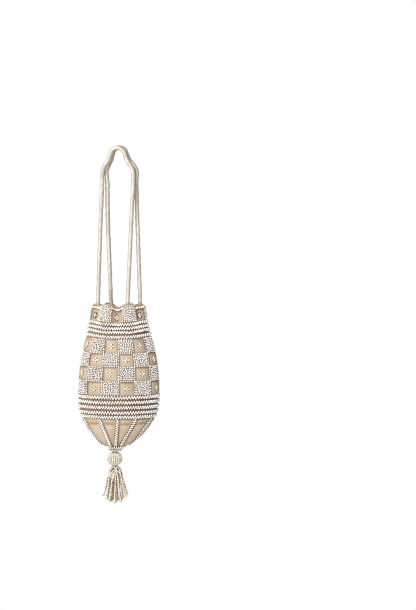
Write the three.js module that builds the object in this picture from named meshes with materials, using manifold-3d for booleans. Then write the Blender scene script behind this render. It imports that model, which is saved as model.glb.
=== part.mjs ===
// Drawstring pouch of silk with bead work, hanging from two handle cords.
// Millimetres, +Z up, front towards -Y. The origin lies under the top of the handle cords.
// A place on the bag is given by its turn (degrees round the section from the front, by length of
// cloth) and its drop (millimetres below the bead edging of the rim).

import * as THREE from 'three';
import { mergeVertices } from 'three/addons/utils/BufferGeometryUtils.js';
import Module from 'manifold-3d';

const wasm = await Module();
wasm.setup();

// Driving sizes of the bag
const RIM_Z = -227.1;
const CLOTH = 1.6;
const GAP = 0.4;
const TIP_X = -6.2;
const TIP_HOLE_RADIUS = 1.4;
const TIP_END_DROP = 211.6;
const TIP_FLOOR_DROP = 204.6;

// Pattern of the bead work
const PAIRS = 6;
const PITCH = 360 / PAIRS;
const CHECKER_TURN = 13.7;
const PAD_SHARE = 0.545;
const COLUMNS_PER_SQUARE = 3;
const GATHER_TURN = 28.7;
const GATHER_SHARPNESS = 1.2;
const MOUTH_PAD_HALF_TURN = 18;

// Silk section by section: how far it drops, its half sizes, its lean to the side, how deep the
// gathers fold, how high the rim's scallops wave, and how far the front and back sag.
const SECTIONS = [
  { drop: -2.7, width: 33.2, depth: 23.0, lean: 0.0, gather: 3.2, wave: 3.0, sag: 0.0 },
  { drop: 6.5, width: 34.9, depth: 23.9, lean: 0.0, gather: 3.0, wave: 2.2, sag: 0.8 },
  { drop: 13.0, width: 36.4, depth: 24.4, lean: 0.0, gather: 2.6, wave: 1.3, sag: 1.8 },
  { drop: 22.0, width: 38.5, depth: 25.2, lean: 0.0, gather: 1.9, wave: 0.4, sag: 2.7 },
  { drop: 31.0, width: 41.0, depth: 26.0, lean: 0.0, gather: 1.3, wave: 0.0, sag: 2.6 },
  { drop: 40.6, width: 43.8, depth: 27.0, lean: 0.2, gather: 0.8, wave: 0.0, sag: 2.3 },
  { drop: 56.5, width: 48.2, depth: 28.7, lean: 0.3, gather: 0.3, wave: 0.0, sag: 1.0 },
  { drop: 76.0, width: 52.7, depth: 31.0, lean: 0.0, gather: 0.0, wave: 0.0, sag: 0.0 },
  { drop: 96.0, width: 55.6, depth: 32.4, lean: 0.0, gather: 0.0, wave: 0.0, sag: 0.0 },
  { drop: 117.0, width: 56.8, depth: 33.2, lean: -0.4, gather: 0.0, wave: 0.0, sag: 0.0 },
  { drop: 134.0, width: 56.3, depth: 33.1, lean: -1.0, gather: 0.0, wave: 0.0, sag: 0.0 },
  { drop: 148.0, width: 54.7, depth: 32.6, lean: -1.1, gather: 0.0, wave: 0.0, sag: 0.0 },
  { drop: 161.0, width: 51.0, depth: 31.2, lean: -1.2, gather: 0.0, wave: 0.0, sag: 0.0 },
  { drop: 176.0, width: 43.4, depth: 28.2, lean: -1.5, gather: 0.0, wave: 0.0, sag: 0.0 },
  { drop: 186.0, width: 36.4, depth: 25.3, lean: -1.9, gather: 0.0, wave: 0.0, sag: 0.0 },
  { drop: 195.0, width: 28.0, depth: 21.2, lean: -2.8, gather: 0.0, wave: 0.0, sag: 0.0 },
  { drop: 200.8, width: 19.8, depth: 16.6, lean: -4.0, gather: 0.0, wave: 0.0, sag: 0.0 },
  { drop: 204.6, width: 12.6, depth: 12.2, lean: -5.8, gather: 0.0, wave: 0.0, sag: 0.0 },
  { drop: 210.8, width: 6.0, depth: 6.0, lean: TIP_X, gather: 0.0, wave: 0.0, sag: 0.0 },
];
const INNER_SECTIONS = [0, 2, 4, 6, 8, 9, 11, 13, 15];

// Bead edging, pads, ropes and ribs
const ROPE_HALF_HEIGHT = 2.45;
const ROPE_CROWN = 0.6;
const ROPE_HEIGHT = 2.3;
const UPPER_ROPE_DROPS = [22.0, 27.8, 33.6, 40.5];
const LOWER_ROPE_DROPS = [130.0, 137.2, 144.6, 152.0, 158.3];
const PAD_EDGE = 1.2;
const PAD_MIDDLE = 2.1;
const EDGING_DROPS = [-1.9, 0.1, 2.1];
const MOUTH_PAD_DROPS = [7.8, 13.5, 19.2];
const CHECKER_ROWS = [
  { top: 43.4, bottom: 66.5 },
  { top: 65.5, bottom: 86.1 },
  { top: 85.1, bottom: 107.3 },
  { top: 105.8, bottom: 127.2 },
];
const RIB_RADIUS = 2.1;
const RIB_START_DROP = 163.5;
const RIB_END_DROP = 200.5;
const RIB_SIDES = 6;
// Turns of each rib at equal steps of drop: seen from the front or the back the ribs are straight
const RIB_TURNS = [
  [-0.2, -1.1, -1.9, -2.9, -3.7, -4.0, -3.1],
  [34.9, 31.4, 27.9, 24.3, 20.9, 18.0, 17.3],
  [70.1, 64.7, 60.3, 56.4, 53.7, 53.4, 64.2],
  [109.9, 115.3, 119.7, 123.6, 126.3, 126.6, 115.8],
  [145.1, 148.6, 152.1, 155.7, 159.1, 162.0, 162.7],
  [180.2, 181.1, 181.9, 182.9, 183.7, 184.0, 183.1],
  [215.4, 213.6, 212.0, 210.4, 208.6, 206.4, 203.6],
  [250.9, 247.9, 245.8, 244.5, 244.1, 245.5, 250.3],
  [-73.2, -73.0, -71.4, -69.1, -67.9, -68.5, -70.3],
  [-35.4, -33.6, -32.0, -30.4, -28.6, -26.4, -23.6],
];

// Tip: collar, ball, thread and tassel
const COLLAR = { topDrop: 204.8, bottomDrop: 211.2, topRadius: 15.2, bottomRadius: 8.2, bead: 2.0, sides: 24 };
const BALL = { drop: 222.6, radius: 11.25, halfHeight: 10.6, bore: 1.4, arcs: 8, sides: 16 };
const THREAD = { radius: 1.0, knot: 2.3, topKnotDrop: 202.0, bottomKnotDrop: 241.4, sides: 8 };
const TASSEL_HEAD = { topDrop: 233.6, bottomDrop: 238.6, topRadius: 4.1, radius: 5.8, bore: 1.4, sides: 14 };
const STRANDS = {
  count: 14, radius: 1.15, sides: 5, steps: 4, startDrop: 236.2, startRadius: 4.4,
  length: 48.6, sideShortening: 9.5, flareWidth: 17.0, flareDepth: 11.0, flarePower: 1.4,
  sway: 0.9, swayPhase: 2.4, swayTurns: 5.0,
};

// Drawstring casing: a channel open towards the bag's wall
const CASING = { outer: CLOTH + 0.9, inner: 10.3, thickness: 1.3, top: 4.7, bottom: 14.7 };

// Handle cords: hand-chosen points, up the left strand, over the top and down the right strand
const CORD_DIAMETER = 5.5;
const CORD_SIDES = 8;
const CORD_CLEARANCE = 0.35;
const FRONT_CORD_ROUTE = [
  [-8.4, -18.1, -237.4], [-13.0, -18.6, -236.5], [-17.8, -16.1, -236.8], [-20.2, -11.3, -237.8],
  [-22.2, -8.2, -237.7], [-25.8, -6.4, -237.1], [-29.2, -4.1, -235.0], [-30.0, -2.0, -230.3],
  [-29.2, -1.5, -222.0], [-28.5, -2.0, -195.0], [-27.6, -2.4, -165.0], [-26.7, -2.8, -135.0],
  [-25.7, -2.9, -105.0], [-24.7, -3.0, -75.0], [-23.8, -3.1, -48.0], [-22.9, -3.2, -30.0],
  [-20.0, -3.2, -22.8], [-15.6, -3.2, -16.0], [-12.6, -3.2, -8.5], [-8.6, -3.2, 0.0],
  [-1.5, -3.2, 2.75], [5.6, -3.2, 0.0], [9.6, -3.2, -8.5], [12.6, -3.2, -16.0],
  [17.0, -3.2, -22.8], [20.0, -3.3, -30.0], [20.2, -4.3, -48.0], [19.0, -6.4, -75.0],
  [17.6, -8.8, -105.0], [16.2, -11.2, -135.0], [14.8, -13.6, -165.0], [13.4, -16.0, -195.0],
  [12.2, -18.1, -222.0], [12.2, -18.6, -230.3], [10.8, -18.9, -234.8], [7.2, -18.2, -237.3],
  [1.6, -15.4, -239.5], [-3.3, -15.7, -239.3], [-7.9, -17.9, -237.6],
];
const BACK_CORD_ROUTE = [
  [7.9, 17.9, -237.6], [3.3, 15.7, -239.3], [-1.6, 15.4, -239.5], [-6.1, 17.8, -237.8],
  [-9.0, 18.8, -235.0], [-9.9, 18.7, -230.3], [-10.0, 18.2, -222.0], [-11.0, 16.1, -195.0],
  [-12.1, 13.7, -165.0], [-13.3, 11.4, -135.0], [-14.4, 9.1, -105.0], [-15.5, 6.8, -75.0],
  [-16.5, 4.7, -48.0], [-17.2, 3.3, -30.0], [-14.6, 3.2, -22.8], [-11.2, 3.2, -16.0],
  [-9.0, 3.2, -8.5], [-5.4, 3.2, 0.0], [1.4, 3.2, 2.75], [8.2, 3.2, 0.0],
  [12.4, 3.2, -8.5], [16.0, 3.2, -16.0], [21.6, 3.2, -22.8], [25.6, 3.2, -30.0],
  [26.1, 3.2, -48.0], [26.7, 3.1, -75.0], [27.3, 2.9, -105.0], [27.8, 2.7, -135.0],
  [28.3, 2.4, -165.0], [28.8, 2.0, -195.0], [29.2, 1.5, -222.0], [30.0, 2.0, -230.3],
  [29.2, 4.1, -235.0], [25.8, 6.4, -237.1], [22.2, 8.2, -237.7], [20.2, 11.3, -237.8],
  [17.8, 16.1, -236.8], [13.0, 18.6, -236.5], [8.4, 18.1, -237.4],
];

const SILK = { color: 0xcdb28a, roughness: 0.55, metalness: 0 };
const BEADS = { color: 0xf1ece2, roughness: 0.3, metalness: 0 };
const CREAM_BEADS = { color: 0xe9dcc4, roughness: 0.35, metalness: 0 };
const CORD_SILK = { color: 0xe6dcc9, roughness: 0.45, metalness: 0 };

const radians = THREE.MathUtils.degToRad;
const group = new THREE.Group();

function addMesh(name, geometry, look) {
  const mesh = new THREE.Mesh(geometry, new THREE.MeshStandardMaterial(look));
  mesh.name = name;
  group.add(mesh);
}

// Table values at a drop, between the two nearest sections
function sectionAt(drop) {
  let i = 1;
  while (i < SECTIONS.length - 1 && SECTIONS[i].drop < drop) i += 1;
  const above = SECTIONS[i - 1];
  const below = SECTIONS[i];
  const share = (drop - above.drop) / (below.drop - above.drop);
  const values = {};
  for (const key of Object.keys(above)) values[key] = THREE.MathUtils.lerp(above[key], below[key], share);
  return values;
}

// Angle of an ellipse's parameter at a turn measured by length along its outline
const ARC_STEPS = 180;
function ellipseAngle(turn, flatness) {
  const quarterStep = Math.PI / 2 / ARC_STEPS;
  const lengths = [0];
  for (let i = 0; i < ARC_STEPS; i += 1) {
    const angle = (i + 0.5) * quarterStep;
    lengths.push(lengths[i] + Math.hypot(Math.cos(angle), flatness * Math.sin(angle)) * quarterStep);
  }
  const quarters = turn / 90;
  const whole = Math.floor(quarters);
  const mirrored = Math.abs(whole % 2) === 1;
  const rest = mirrored ? 1 - (quarters - whole) : quarters - whole;
  const wanted = rest * lengths[ARC_STEPS];
  let i = 0;
  while (i < ARC_STEPS - 1 && lengths[i + 1] < wanted) i += 1;
  const angle = (i + (wanted - lengths[i]) / (lengths[i + 1] - lengths[i])) * quarterStep;
  return whole * Math.PI / 2 + (mirrored ? Math.PI / 2 - angle : angle);
}

// Fold of the gathers at a turn: 1 on an outward fold, -1 in an inward one
function gatherFold(turn) {
  const half = Math.abs(Math.sin(radians((turn - GATHER_TURN) * PAIRS / 2)));
  return 1 - 2 * half ** (2 * GATHER_SHARPNESS);
}

// Point of the bag's outer face, or of a face inset from it
function pointOn(turn, drop, inset = 0) {
  const s = sectionAt(drop);
  const angle = ellipseAngle(turn, s.depth / s.width);
  const fold = gatherFold(turn);
  const reach = s.gather * fold - inset;
  const frontShare = Math.cos(angle) ** 2;
  return new THREE.Vector3(
    s.lean + (s.width + reach) * Math.sin(angle),
    -(s.depth + reach) * Math.cos(angle),
    RIM_Z - drop + (s.wave * fold - s.sag) * frontShare,
  );
}

// Outward direction of the bag's face
const TURN_STEP = 1.5;
const DROP_STEP = 1.5;
function normalOn(turn, drop) {
  const across = pointOn(turn + TURN_STEP, drop).sub(pointOn(turn - TURN_STEP, drop));
  const down = pointOn(turn, drop + DROP_STEP).sub(pointOn(turn, drop - DROP_STEP));
  return down.cross(across).normalize();
}

function pointOff(turn, drop, out) {
  return pointOn(turn, drop).addScaledVector(normalOn(turn, drop), out);
}

// Turns shared by the bag and all its bead work, so that their facets run parallel
function columnTurns() {
  const clearHalf = PITCH * (1 - PAD_SHARE) / 2;
  const turns = [];
  for (let square = 0; square < 2 * PAIRS; square += 1) {
    const middle = CHECKER_TURN + square * PITCH / 2;
    const fold = GATHER_TURN + Math.floor(square / 2) * PITCH;
    const mouthPadEdge = fold + (square % 2 ? MOUTH_PAD_HALF_TURN : -MOUTH_PAD_HALF_TURN);
    turns.push(middle - clearHalf, mouthPadEdge, middle + clearHalf);
  }
  return turns;
}
const COLUMNS = columnTurns();

function indexedGeometry(points, triangles) {
  const geometry = new THREE.BufferGeometry();
  geometry.setAttribute('position', new THREE.Float32BufferAttribute(points.flatMap((p) => p.toArray()), 3));
  geometry.setIndex(triangles);
  return geometry;
}

// Closed ring from one closed loop of points at each column
function ringGeometry(loops) {
  const count = loops[0].length;
  const triangles = [];
  loops.forEach((loop, i) => {
    const next = (i + 1) % loops.length;
    for (let j = 0; j < count; j += 1) {
      const k = (j + 1) % count;
      const [a, b, c, d] = [i * count + j, i * count + k, next * count + k, next * count + j];
      triangles.push(a, b, c, a, c, d);
    }
  });
  return indexedGeometry(loops.flat(), triangles);
}

// Field of beads over the filled cells of a grid of turns and drops, closed round the bag
function fieldGeometry(drops, isFilled, thickness) {
  const across = COLUMNS.length;
  const down = drops.length - 1;
  const filled = (i, j) => j >= 0 && j < down && isFilled((i + across) % across, j);
  const numbers = new Map();
  const points = [];
  const triangles = [];
  const vertex = (i, j, outer) => {
    const column = (i + across) % across;
    const key = `${column} ${j} ${outer}`;
    if (!numbers.has(key)) {
      const inside = filled(i, j) && filled(i - 1, j) && filled(i, j - 1) && filled(i - 1, j - 1);
      const out = GAP + (outer ? thickness(inside, j) : 0);
      numbers.set(key, points.length);
      points.push(pointOff(COLUMNS[column], drops[j], out));
    }
    return numbers.get(key);
  };
  const quad = (a, b, c, d) => triangles.push(a, b, c, a, c, d);
  const wall = (i0, j0, i1, j1) => {
    quad(vertex(i0, j0, true), vertex(i0, j0, false), vertex(i1, j1, false), vertex(i1, j1, true));
  };
  for (let i = 0; i < across; i += 1) {
    for (let j = 0; j < down; j += 1) {
      if (!filled(i, j)) continue;
      quad(vertex(i, j, true), vertex(i, j + 1, true), vertex(i + 1, j + 1, true), vertex(i + 1, j, true));
      quad(vertex(i, j, false), vertex(i + 1, j, false), vertex(i + 1, j + 1, false), vertex(i, j + 1, false));
      if (!filled(i - 1, j)) wall(i, j, i, j + 1);
      if (!filled(i + 1, j)) wall(i + 1, j + 1, i + 1, j);
      if (!filled(i, j - 1)) wall(i + 1, j, i, j);
      if (!filled(i, j + 1)) wall(i, j + 1, i + 1, j + 1);
    }
  }
  return indexedGeometry(points, triangles);
}

// Tube of a regular section along a smooth curve through the points, one step to each point
class RouteCurve extends THREE.CatmullRomCurve3 {
  getUtoTmapping(u) {
    return u;
  }
}

function tubeGeometry(points, radius, sides) {
  const outline = [];
  for (let i = 0; i < sides; i += 1) {
    const angle = 2 * Math.PI * i / sides;
    outline.push(new THREE.Vector2(radius * Math.cos(angle), radius * Math.sin(angle)));
  }
  return new THREE.ExtrudeGeometry(new THREE.Shape(outline), {
    steps: points.length - 1,
    bevelEnabled: false,
    extrudePath: new RouteCurve(points),
  });
}

// Round piece about the upright axis through the tip, from [radius, drop] points down its outside
function turnedGeometry(profile, sides) {
  const points = profile.map(([radius, drop]) => new THREE.Vector2(radius, -drop)).reverse();
  const geometry = new THREE.LatheGeometry(points, sides);
  geometry.rotateX(Math.PI / 2);
  geometry.translate(TIP_X, 0, RIM_Z);
  return geometry;
}

function solidOf(geometry) {
  const plain = geometry.clone();
  plain.deleteAttribute('normal');
  plain.deleteAttribute('uv');
  const merged = mergeVertices(plain, 1e-4);
  return new wasm.Manifold(new wasm.Mesh({
    numProp: 3,
    vertProperties: new Float32Array(merged.attributes.position.array),
    triVerts: new Uint32Array(merged.index.array),
  }));
}

function geometryOf(solid) {
  const mesh = solid.getMesh();
  const geometry = new THREE.BufferGeometry();
  geometry.setAttribute('position', new THREE.BufferAttribute(mesh.vertProperties, 3));
  geometry.setIndex(new THREE.BufferAttribute(mesh.triVerts, 1));
  return geometry;
}

// Silk bag: outer face down to the tip, the hole for the thread, and the inner face up to the hem
function makeBody() {
  const tipRing = (turn, drop) => new THREE.Vector3(
    TIP_X + TIP_HOLE_RADIUS * Math.sin(radians(turn)),
    -TIP_HOLE_RADIUS * Math.cos(radians(turn)),
    RIM_Z - drop,
  );
  const loops = COLUMNS.map((turn) => {
    const outer = SECTIONS.map((s) => pointOn(turn, s.drop));
    const inner = INNER_SECTIONS.map((i) => pointOff(turn, SECTIONS[i].drop, -CLOTH));
    return [...outer, tipRing(turn, TIP_END_DROP), tipRing(turn, TIP_FLOOR_DROP), ...inner.reverse()];
  });
  addMesh('pouch_body', ringGeometry(loops), SILK);
}

function makeRope(name, drop) {
  const crown = ROPE_HALF_HEIGHT * ROPE_CROWN;
  const loops = COLUMNS.map((turn) => [
    pointOff(turn, drop - ROPE_HALF_HEIGHT, GAP),
    pointOff(turn, drop - crown, GAP + ROPE_HEIGHT),
    pointOff(turn, drop + crown, GAP + ROPE_HEIGHT),
    pointOff(turn, drop + ROPE_HALF_HEIGHT, GAP),
  ]);
  addMesh(name, ringGeometry(loops), BEADS);
}

function padThickness(inside) {
  return inside ? PAD_MIDDLE : PAD_EDGE;
}

// Rim edging all the way round, with a pad hanging from it on each outward fold
function makeMouthBand() {
  const drops = [...EDGING_DROPS, ...MOUTH_PAD_DROPS];
  const edgingRows = EDGING_DROPS.length - 1;
  const onPad = (turn) => {
    const fromMiddle = THREE.MathUtils.euclideanModulo(turn - GATHER_TURN + PITCH / 2, PITCH) - PITCH / 2;
    return Math.abs(fromMiddle) < MOUTH_PAD_HALF_TURN;
  };
  const isFilled = (i, j) => {
    const next = COLUMNS[(i + 1) % COLUMNS.length] + (i + 1 === COLUMNS.length ? 360 : 0);
    return j < edgingRows || onPad((COLUMNS[i] + next) / 2);
  };
  addMesh('mouth_bead_band', fieldGeometry(drops, isFilled, padThickness), BEADS);
}

// Pads on every second square, shifted by one square from row to row, meeting at their corners
function makeChecker() {
  const drops = [];
  const rowOfStrip = [];
  CHECKER_ROWS.forEach((row, r) => {
    const above = CHECKER_ROWS[r - 1];
    const below = CHECKER_ROWS[r + 1];
    const clearTop = above ? above.bottom : row.top;
    const clearBottom = below ? below.top : row.bottom;
    drops.push(clearTop, (clearTop + clearBottom) / 2, clearBottom);
    rowOfStrip.push(r, r);
    if (below) rowOfStrip.push(null);
  });
  const isFilled = (i, j) => {
    const square = Math.floor(i / COLUMNS_PER_SQUARE);
    const shared = i % COLUMNS_PER_SQUARE === COLUMNS_PER_SQUARE - 1;
    const row = rowOfStrip[j];
    return shared || row === null || (square + row) % 2 === 0;
  };
  addMesh('checker_bead_field', fieldGeometry(drops, isFilled, padThickness), BEADS);
}

function makeRibs() {
  RIB_TURNS.forEach((turns, rib) => {
    const route = turns.map((turn, step) => {
      const drop = THREE.MathUtils.lerp(RIB_START_DROP, RIB_END_DROP, step / (turns.length - 1));
      return pointOff(turn, drop, GAP + RIB_RADIUS);
    });
    addMesh(`bead_rib_${rib + 1}`, tubeGeometry(route, RIB_RADIUS, RIB_SIDES), BEADS);
  });
}

function makeCollar() {
  const { topDrop, bottomDrop, topRadius, bottomRadius, bead, sides } = COLLAR;
  const profile = [
    [topRadius, topDrop], [bottomRadius, bottomDrop], [bottomRadius - bead, bottomDrop],
    [topRadius - bead, topDrop], [topRadius, topDrop],
  ];
  addMesh('bottom_collar', turnedGeometry(profile, sides), BEADS);
}

function makeBall() {
  const start = Math.asin(BALL.bore / BALL.radius);
  const profile = [];
  for (let i = 0; i <= BALL.arcs; i += 1) {
    const angle = THREE.MathUtils.lerp(start, Math.PI - start, i / BALL.arcs);
    profile.push([BALL.radius * Math.sin(angle), BALL.drop - BALL.halfHeight * Math.cos(angle)]);
  }
  profile.push(profile[0]);
  addMesh('bead_ball', turnedGeometry(profile, BALL.sides), CREAM_BEADS);
}

function makeThread() {
  const { radius, knot, topKnotDrop, bottomKnotDrop, sides } = THREAD;
  const profile = [
    [0, topKnotDrop - knot], [knot, topKnotDrop], [radius, topKnotDrop + knot],
    [radius, bottomKnotDrop - knot], [knot, bottomKnotDrop], [0, bottomKnotDrop + knot],
  ];
  addMesh('hanging_thread', turnedGeometry(profile, sides), CORD_SILK);
}

function makeTassel() {
  const { topDrop, bottomDrop, topRadius, radius, bore, sides } = TASSEL_HEAD;
  const profile = [
    [bore, topDrop], [topRadius, topDrop], [radius, (topDrop + bottomDrop) / 2],
    [radius, bottomDrop], [bore, bottomDrop], [bore, topDrop],
  ];
  let solid = solidOf(turnedGeometry(profile, sides));
  for (let strand = 0; strand < STRANDS.count; strand += 1) {
    const angle = 2 * Math.PI * strand / STRANDS.count;
    const side = Math.sin(angle);
    const front = -Math.cos(angle);
    const length = STRANDS.length - STRANDS.sideShortening * side ** 2;
    const route = [];
    for (let step = 0; step <= STRANDS.steps; step += 1) {
      const share = step / STRANDS.steps;
      const spread = share ** STRANDS.flarePower;
      const swing = Math.sin(strand * STRANDS.swayPhase + share * STRANDS.swayTurns);
      const sway = STRANDS.sway * swing * share;
      route.push(new THREE.Vector3(
        TIP_X + side * THREE.MathUtils.lerp(STRANDS.startRadius, STRANDS.flareWidth, spread) + sway,
        front * THREE.MathUtils.lerp(STRANDS.startRadius, STRANDS.flareDepth, spread),
        RIM_Z - STRANDS.startDrop - length * share,
      ));
    }
    solid = solid.add(solidOf(tubeGeometry(route, STRANDS.radius, STRANDS.sides)));
  }
  addMesh('tassel', geometryOf(solid), CREAM_BEADS);
}

function routePoints(route) {
  return route.map((p) => new THREE.Vector3(...p));
}

function makeCords() {
  const radius = CORD_DIAMETER / 2;
  addMesh('front_handle_cord', tubeGeometry(routePoints(FRONT_CORD_ROUTE), radius, CORD_SIDES), CORD_SILK);
  addMesh('back_handle_cord', tubeGeometry(routePoints(BACK_CORD_ROUTE), radius, CORD_SIDES), CORD_SILK);
}

// Channel sewn inside the mouth, cut where the cords run into it
function makeCasing() {
  const { outer, inner, thickness, top, bottom } = CASING;
  const outline = [
    [outer, top], [outer, top + thickness], [inner, top + thickness], [inner, bottom - thickness],
    [outer, bottom - thickness], [outer, bottom], [inner + thickness, bottom], [inner + thickness, top],
  ];
  const loops = COLUMNS.map((turn) => outline.map(([inset, drop]) => pointOn(turn, drop, inset)));
  let solid = solidOf(ringGeometry(loops));
  for (const route of [FRONT_CORD_ROUTE, BACK_CORD_ROUTE]) {
    const clearance = tubeGeometry(routePoints(route), CORD_DIAMETER / 2 + CORD_CLEARANCE, CORD_SIDES);
    solid = solid.subtract(solidOf(clearance));
  }
  addMesh('drawstring_casing', geometryOf(solid), SILK);
}

makeBody();
makeMouthBand();
UPPER_ROPE_DROPS.forEach((drop, i) => makeRope(`upper_bead_row_${i + 1}`, drop));
makeChecker();
LOWER_ROPE_DROPS.forEach((drop, i) => makeRope(`lower_bead_row_${i + 1}`, drop));
makeRibs();
makeCollar();
makeBall();
makeThread();
makeTassel();
makeCords();
makeCasing();

export default group;
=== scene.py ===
import math

import bmesh
import bpy
import numpy as np
from mathutils import Matrix, Vector
from mathutils.kdtree import KDTree


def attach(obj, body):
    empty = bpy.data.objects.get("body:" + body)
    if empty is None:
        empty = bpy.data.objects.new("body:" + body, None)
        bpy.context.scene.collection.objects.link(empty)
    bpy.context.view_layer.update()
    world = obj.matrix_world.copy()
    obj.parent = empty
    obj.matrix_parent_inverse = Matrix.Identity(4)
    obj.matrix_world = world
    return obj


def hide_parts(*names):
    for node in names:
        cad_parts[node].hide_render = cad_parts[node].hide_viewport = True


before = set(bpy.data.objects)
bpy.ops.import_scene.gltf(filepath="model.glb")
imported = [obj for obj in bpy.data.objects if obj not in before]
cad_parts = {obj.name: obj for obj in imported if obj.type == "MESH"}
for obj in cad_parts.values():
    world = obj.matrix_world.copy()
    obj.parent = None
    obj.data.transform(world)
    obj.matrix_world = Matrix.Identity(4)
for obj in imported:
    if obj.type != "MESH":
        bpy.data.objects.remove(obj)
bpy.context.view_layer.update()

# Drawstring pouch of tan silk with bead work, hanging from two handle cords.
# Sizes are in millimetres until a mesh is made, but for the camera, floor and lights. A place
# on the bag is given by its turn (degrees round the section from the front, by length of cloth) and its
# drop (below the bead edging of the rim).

MM = 0.001
rng = np.random.default_rng(11)

# Driving sizes of the bag
RIM_Z = -227.1
TIP_X = -6.2
PITCH = 60.0
PAD_COUNT = 6
CHECKER_TURN = 15.2
PAD_HALF_TURN = PITCH * 0.545 / 2
BARE_HALF_TURN = PITCH / 2 - PAD_HALF_TURN
GATHER_TURN = 28.7
GATHER_POWER = 2.4
MOUTH_PAD_HALF_TURN = 18.0
MOUTH_BARE_TURN = GATHER_TURN + PITCH / 2
MOUTH_BARE_HALF_TURN = PITCH / 2 - MOUTH_PAD_HALF_TURN
SILK_THICKNESS = 1.1
CASING_THICKNESS = 1.0
BACK_SLACK = 3.2
BACK_SLACK_END = 20.0
DOME_DROP = 160.5
DOME_END = 203.0
WALL_END = 210.8

# Silk section by section: drop, half width, half depth, lean, gather, wave of the rim, sag
SECTIONS = np.array([
    (-2.7, 33.4, 23.0, -1.0, 3.2, 3.0, 0.0),
    (6.5, 35.1, 23.9, -1.0, 3.0, 2.2, 0.8),
    (13.0, 36.7, 24.4, -1.0, 2.6, 1.3, 1.8),
    (22.0, 38.9, 25.2, -1.1, 1.9, 0.4, 2.7),
    (31.0, 41.4, 26.0, -1.0, 1.3, 0.0, 2.6),
    (40.6, 44.1, 27.0, -0.7, 0.8, 0.0, 2.3),
    (56.5, 48.4, 28.7, -0.3, 0.3, 0.0, 1.0),
    (76.0, 52.9, 31.0, -0.4, 0.0, 0.0, 0.0),
    (96.0, 55.8, 32.4, -0.5, 0.0, 0.0, 0.0),
    (117.0, 57.0, 33.2, -0.7, 0.0, 0.0, 0.0),
    (134.0, 57.2, 33.1, -1.0, 0.0, 0.0, 0.0),
    (148.0, 56.1, 32.6, -1.2, 0.0, 0.0, 0.0),
    (161.0, 52.2, 31.2, -1.4, 0.0, 0.0, 0.0),
    (176.0, 44.0, 28.2, -2.1, 0.0, 0.0, 0.0),
    (186.0, 36.5, 24.6, -2.9, 0.0, 0.0, 0.0),
    (195.0, 28.2, 19.4, -4.1, 0.0, 0.0, 0.0),
    (200.8, 21.0, 15.0, -5.0, 0.0, 0.0, 0.0),
    (204.6, 14.9, 11.8, -5.5, 0.0, 0.0, 0.0),
    (207.6, 10.6, 9.8, -5.9, 0.0, 0.0, 0.0),
    (WALL_END, 7.0, 7.0, TIP_X, 0.0, 0.0, 0.0),
])
SECTION_SLOPES = np.gradient(SECTIONS[:, 1:], SECTIONS[:, 0], axis=0)

# Bead work: rows of ropes, checker rows (top, bottom), mouth pads (top, bottom), ribs
UPPER_ROPES = [22.0, 27.8, 33.6, 40.5]
UPPER_PITCHES = [3.3, 3.35, 3.5, 3.6]
LOWER_ROPES = [130.0, 137.2, 144.6, 152.0, 158.3]
LOWER_PITCHES = [4.05, 3.77, 3.55, 4.0, 3.73]
CHECKER_ROWS = [(43.9, 66.5), (65.5, 86.1), (85.1, 107.3), (105.8, 126.9)]
MOUTH_PAD = (-1.9, 19.2)
EDGING_DROP = 0.1
RIB_STARTS = [0.0, 36.0, 72.0, 108.0, 144.0, 180.0, 216.0, 252.0, 278.0, 324.0]
RIB_COUNT = len(RIB_STARTS)
RIB_DROPS = (161.6, 204.0)
RIB_END = 201.8
# Where the ribs aim at their lower end, as shares of the half width, for the middle, next and side ribs
RIB_AIMS = (0.0, 0.385, 1.3)
# Half widths of the band that a rope, the edging and a rib cover, and the drop where the cover of the ribs
# ends; the silk under them takes painted shade
ROPE_HALF, EDGING_HALF, RIB_HALF, RIB_COVER_END = 2.5, 2.0, 2.7, 205.0
# Beads of ropes and ribs. Width is a share of the pitch in the ropes; lean is in degrees
UPPER_BEAD = dict(length=3.0, width=0.67, apart=1.7, lean=14, waver=0.18)
LOWER_BEAD = dict(length=3.15, width=0.65, apart=1.95, lean=12, waver=0.1)
RIB_BEAD = dict(length=2.95, width=2.25, apart=1.85, lean=16, pitch=3.6)
EDGING_BEAD = dict(length=4.5, width=1.85, height=2.2, lean=38, pitch=2.0, lower=0.9, out=1.35)
# How far a bead of a rope stands off the silk
SEWN_OFF = 0.4
# Flowers: width of a petal, size of the petals aside, radius of the sequin and its height to its width
MOUTH_FLOWER = dict(petal=1.85, aside=0.84, sequin=4.0, stretch=1.3)
SQUARE_FLOWER = dict(petal=2.25, aside=1.0, sequin=3.2, stretch=1.08)
MOUTH_FLOWER_DROP = 12.2
PETAL = dict(away=2.2, out=1.0, length=3.0, height=1.8)
SEQUIN_THICKNESS = 0.35

# Handle cords: points up the left strand, over the top and down the right strand
CORD_DIAMETER = 5.5
CORD_SIDES = 22
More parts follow.
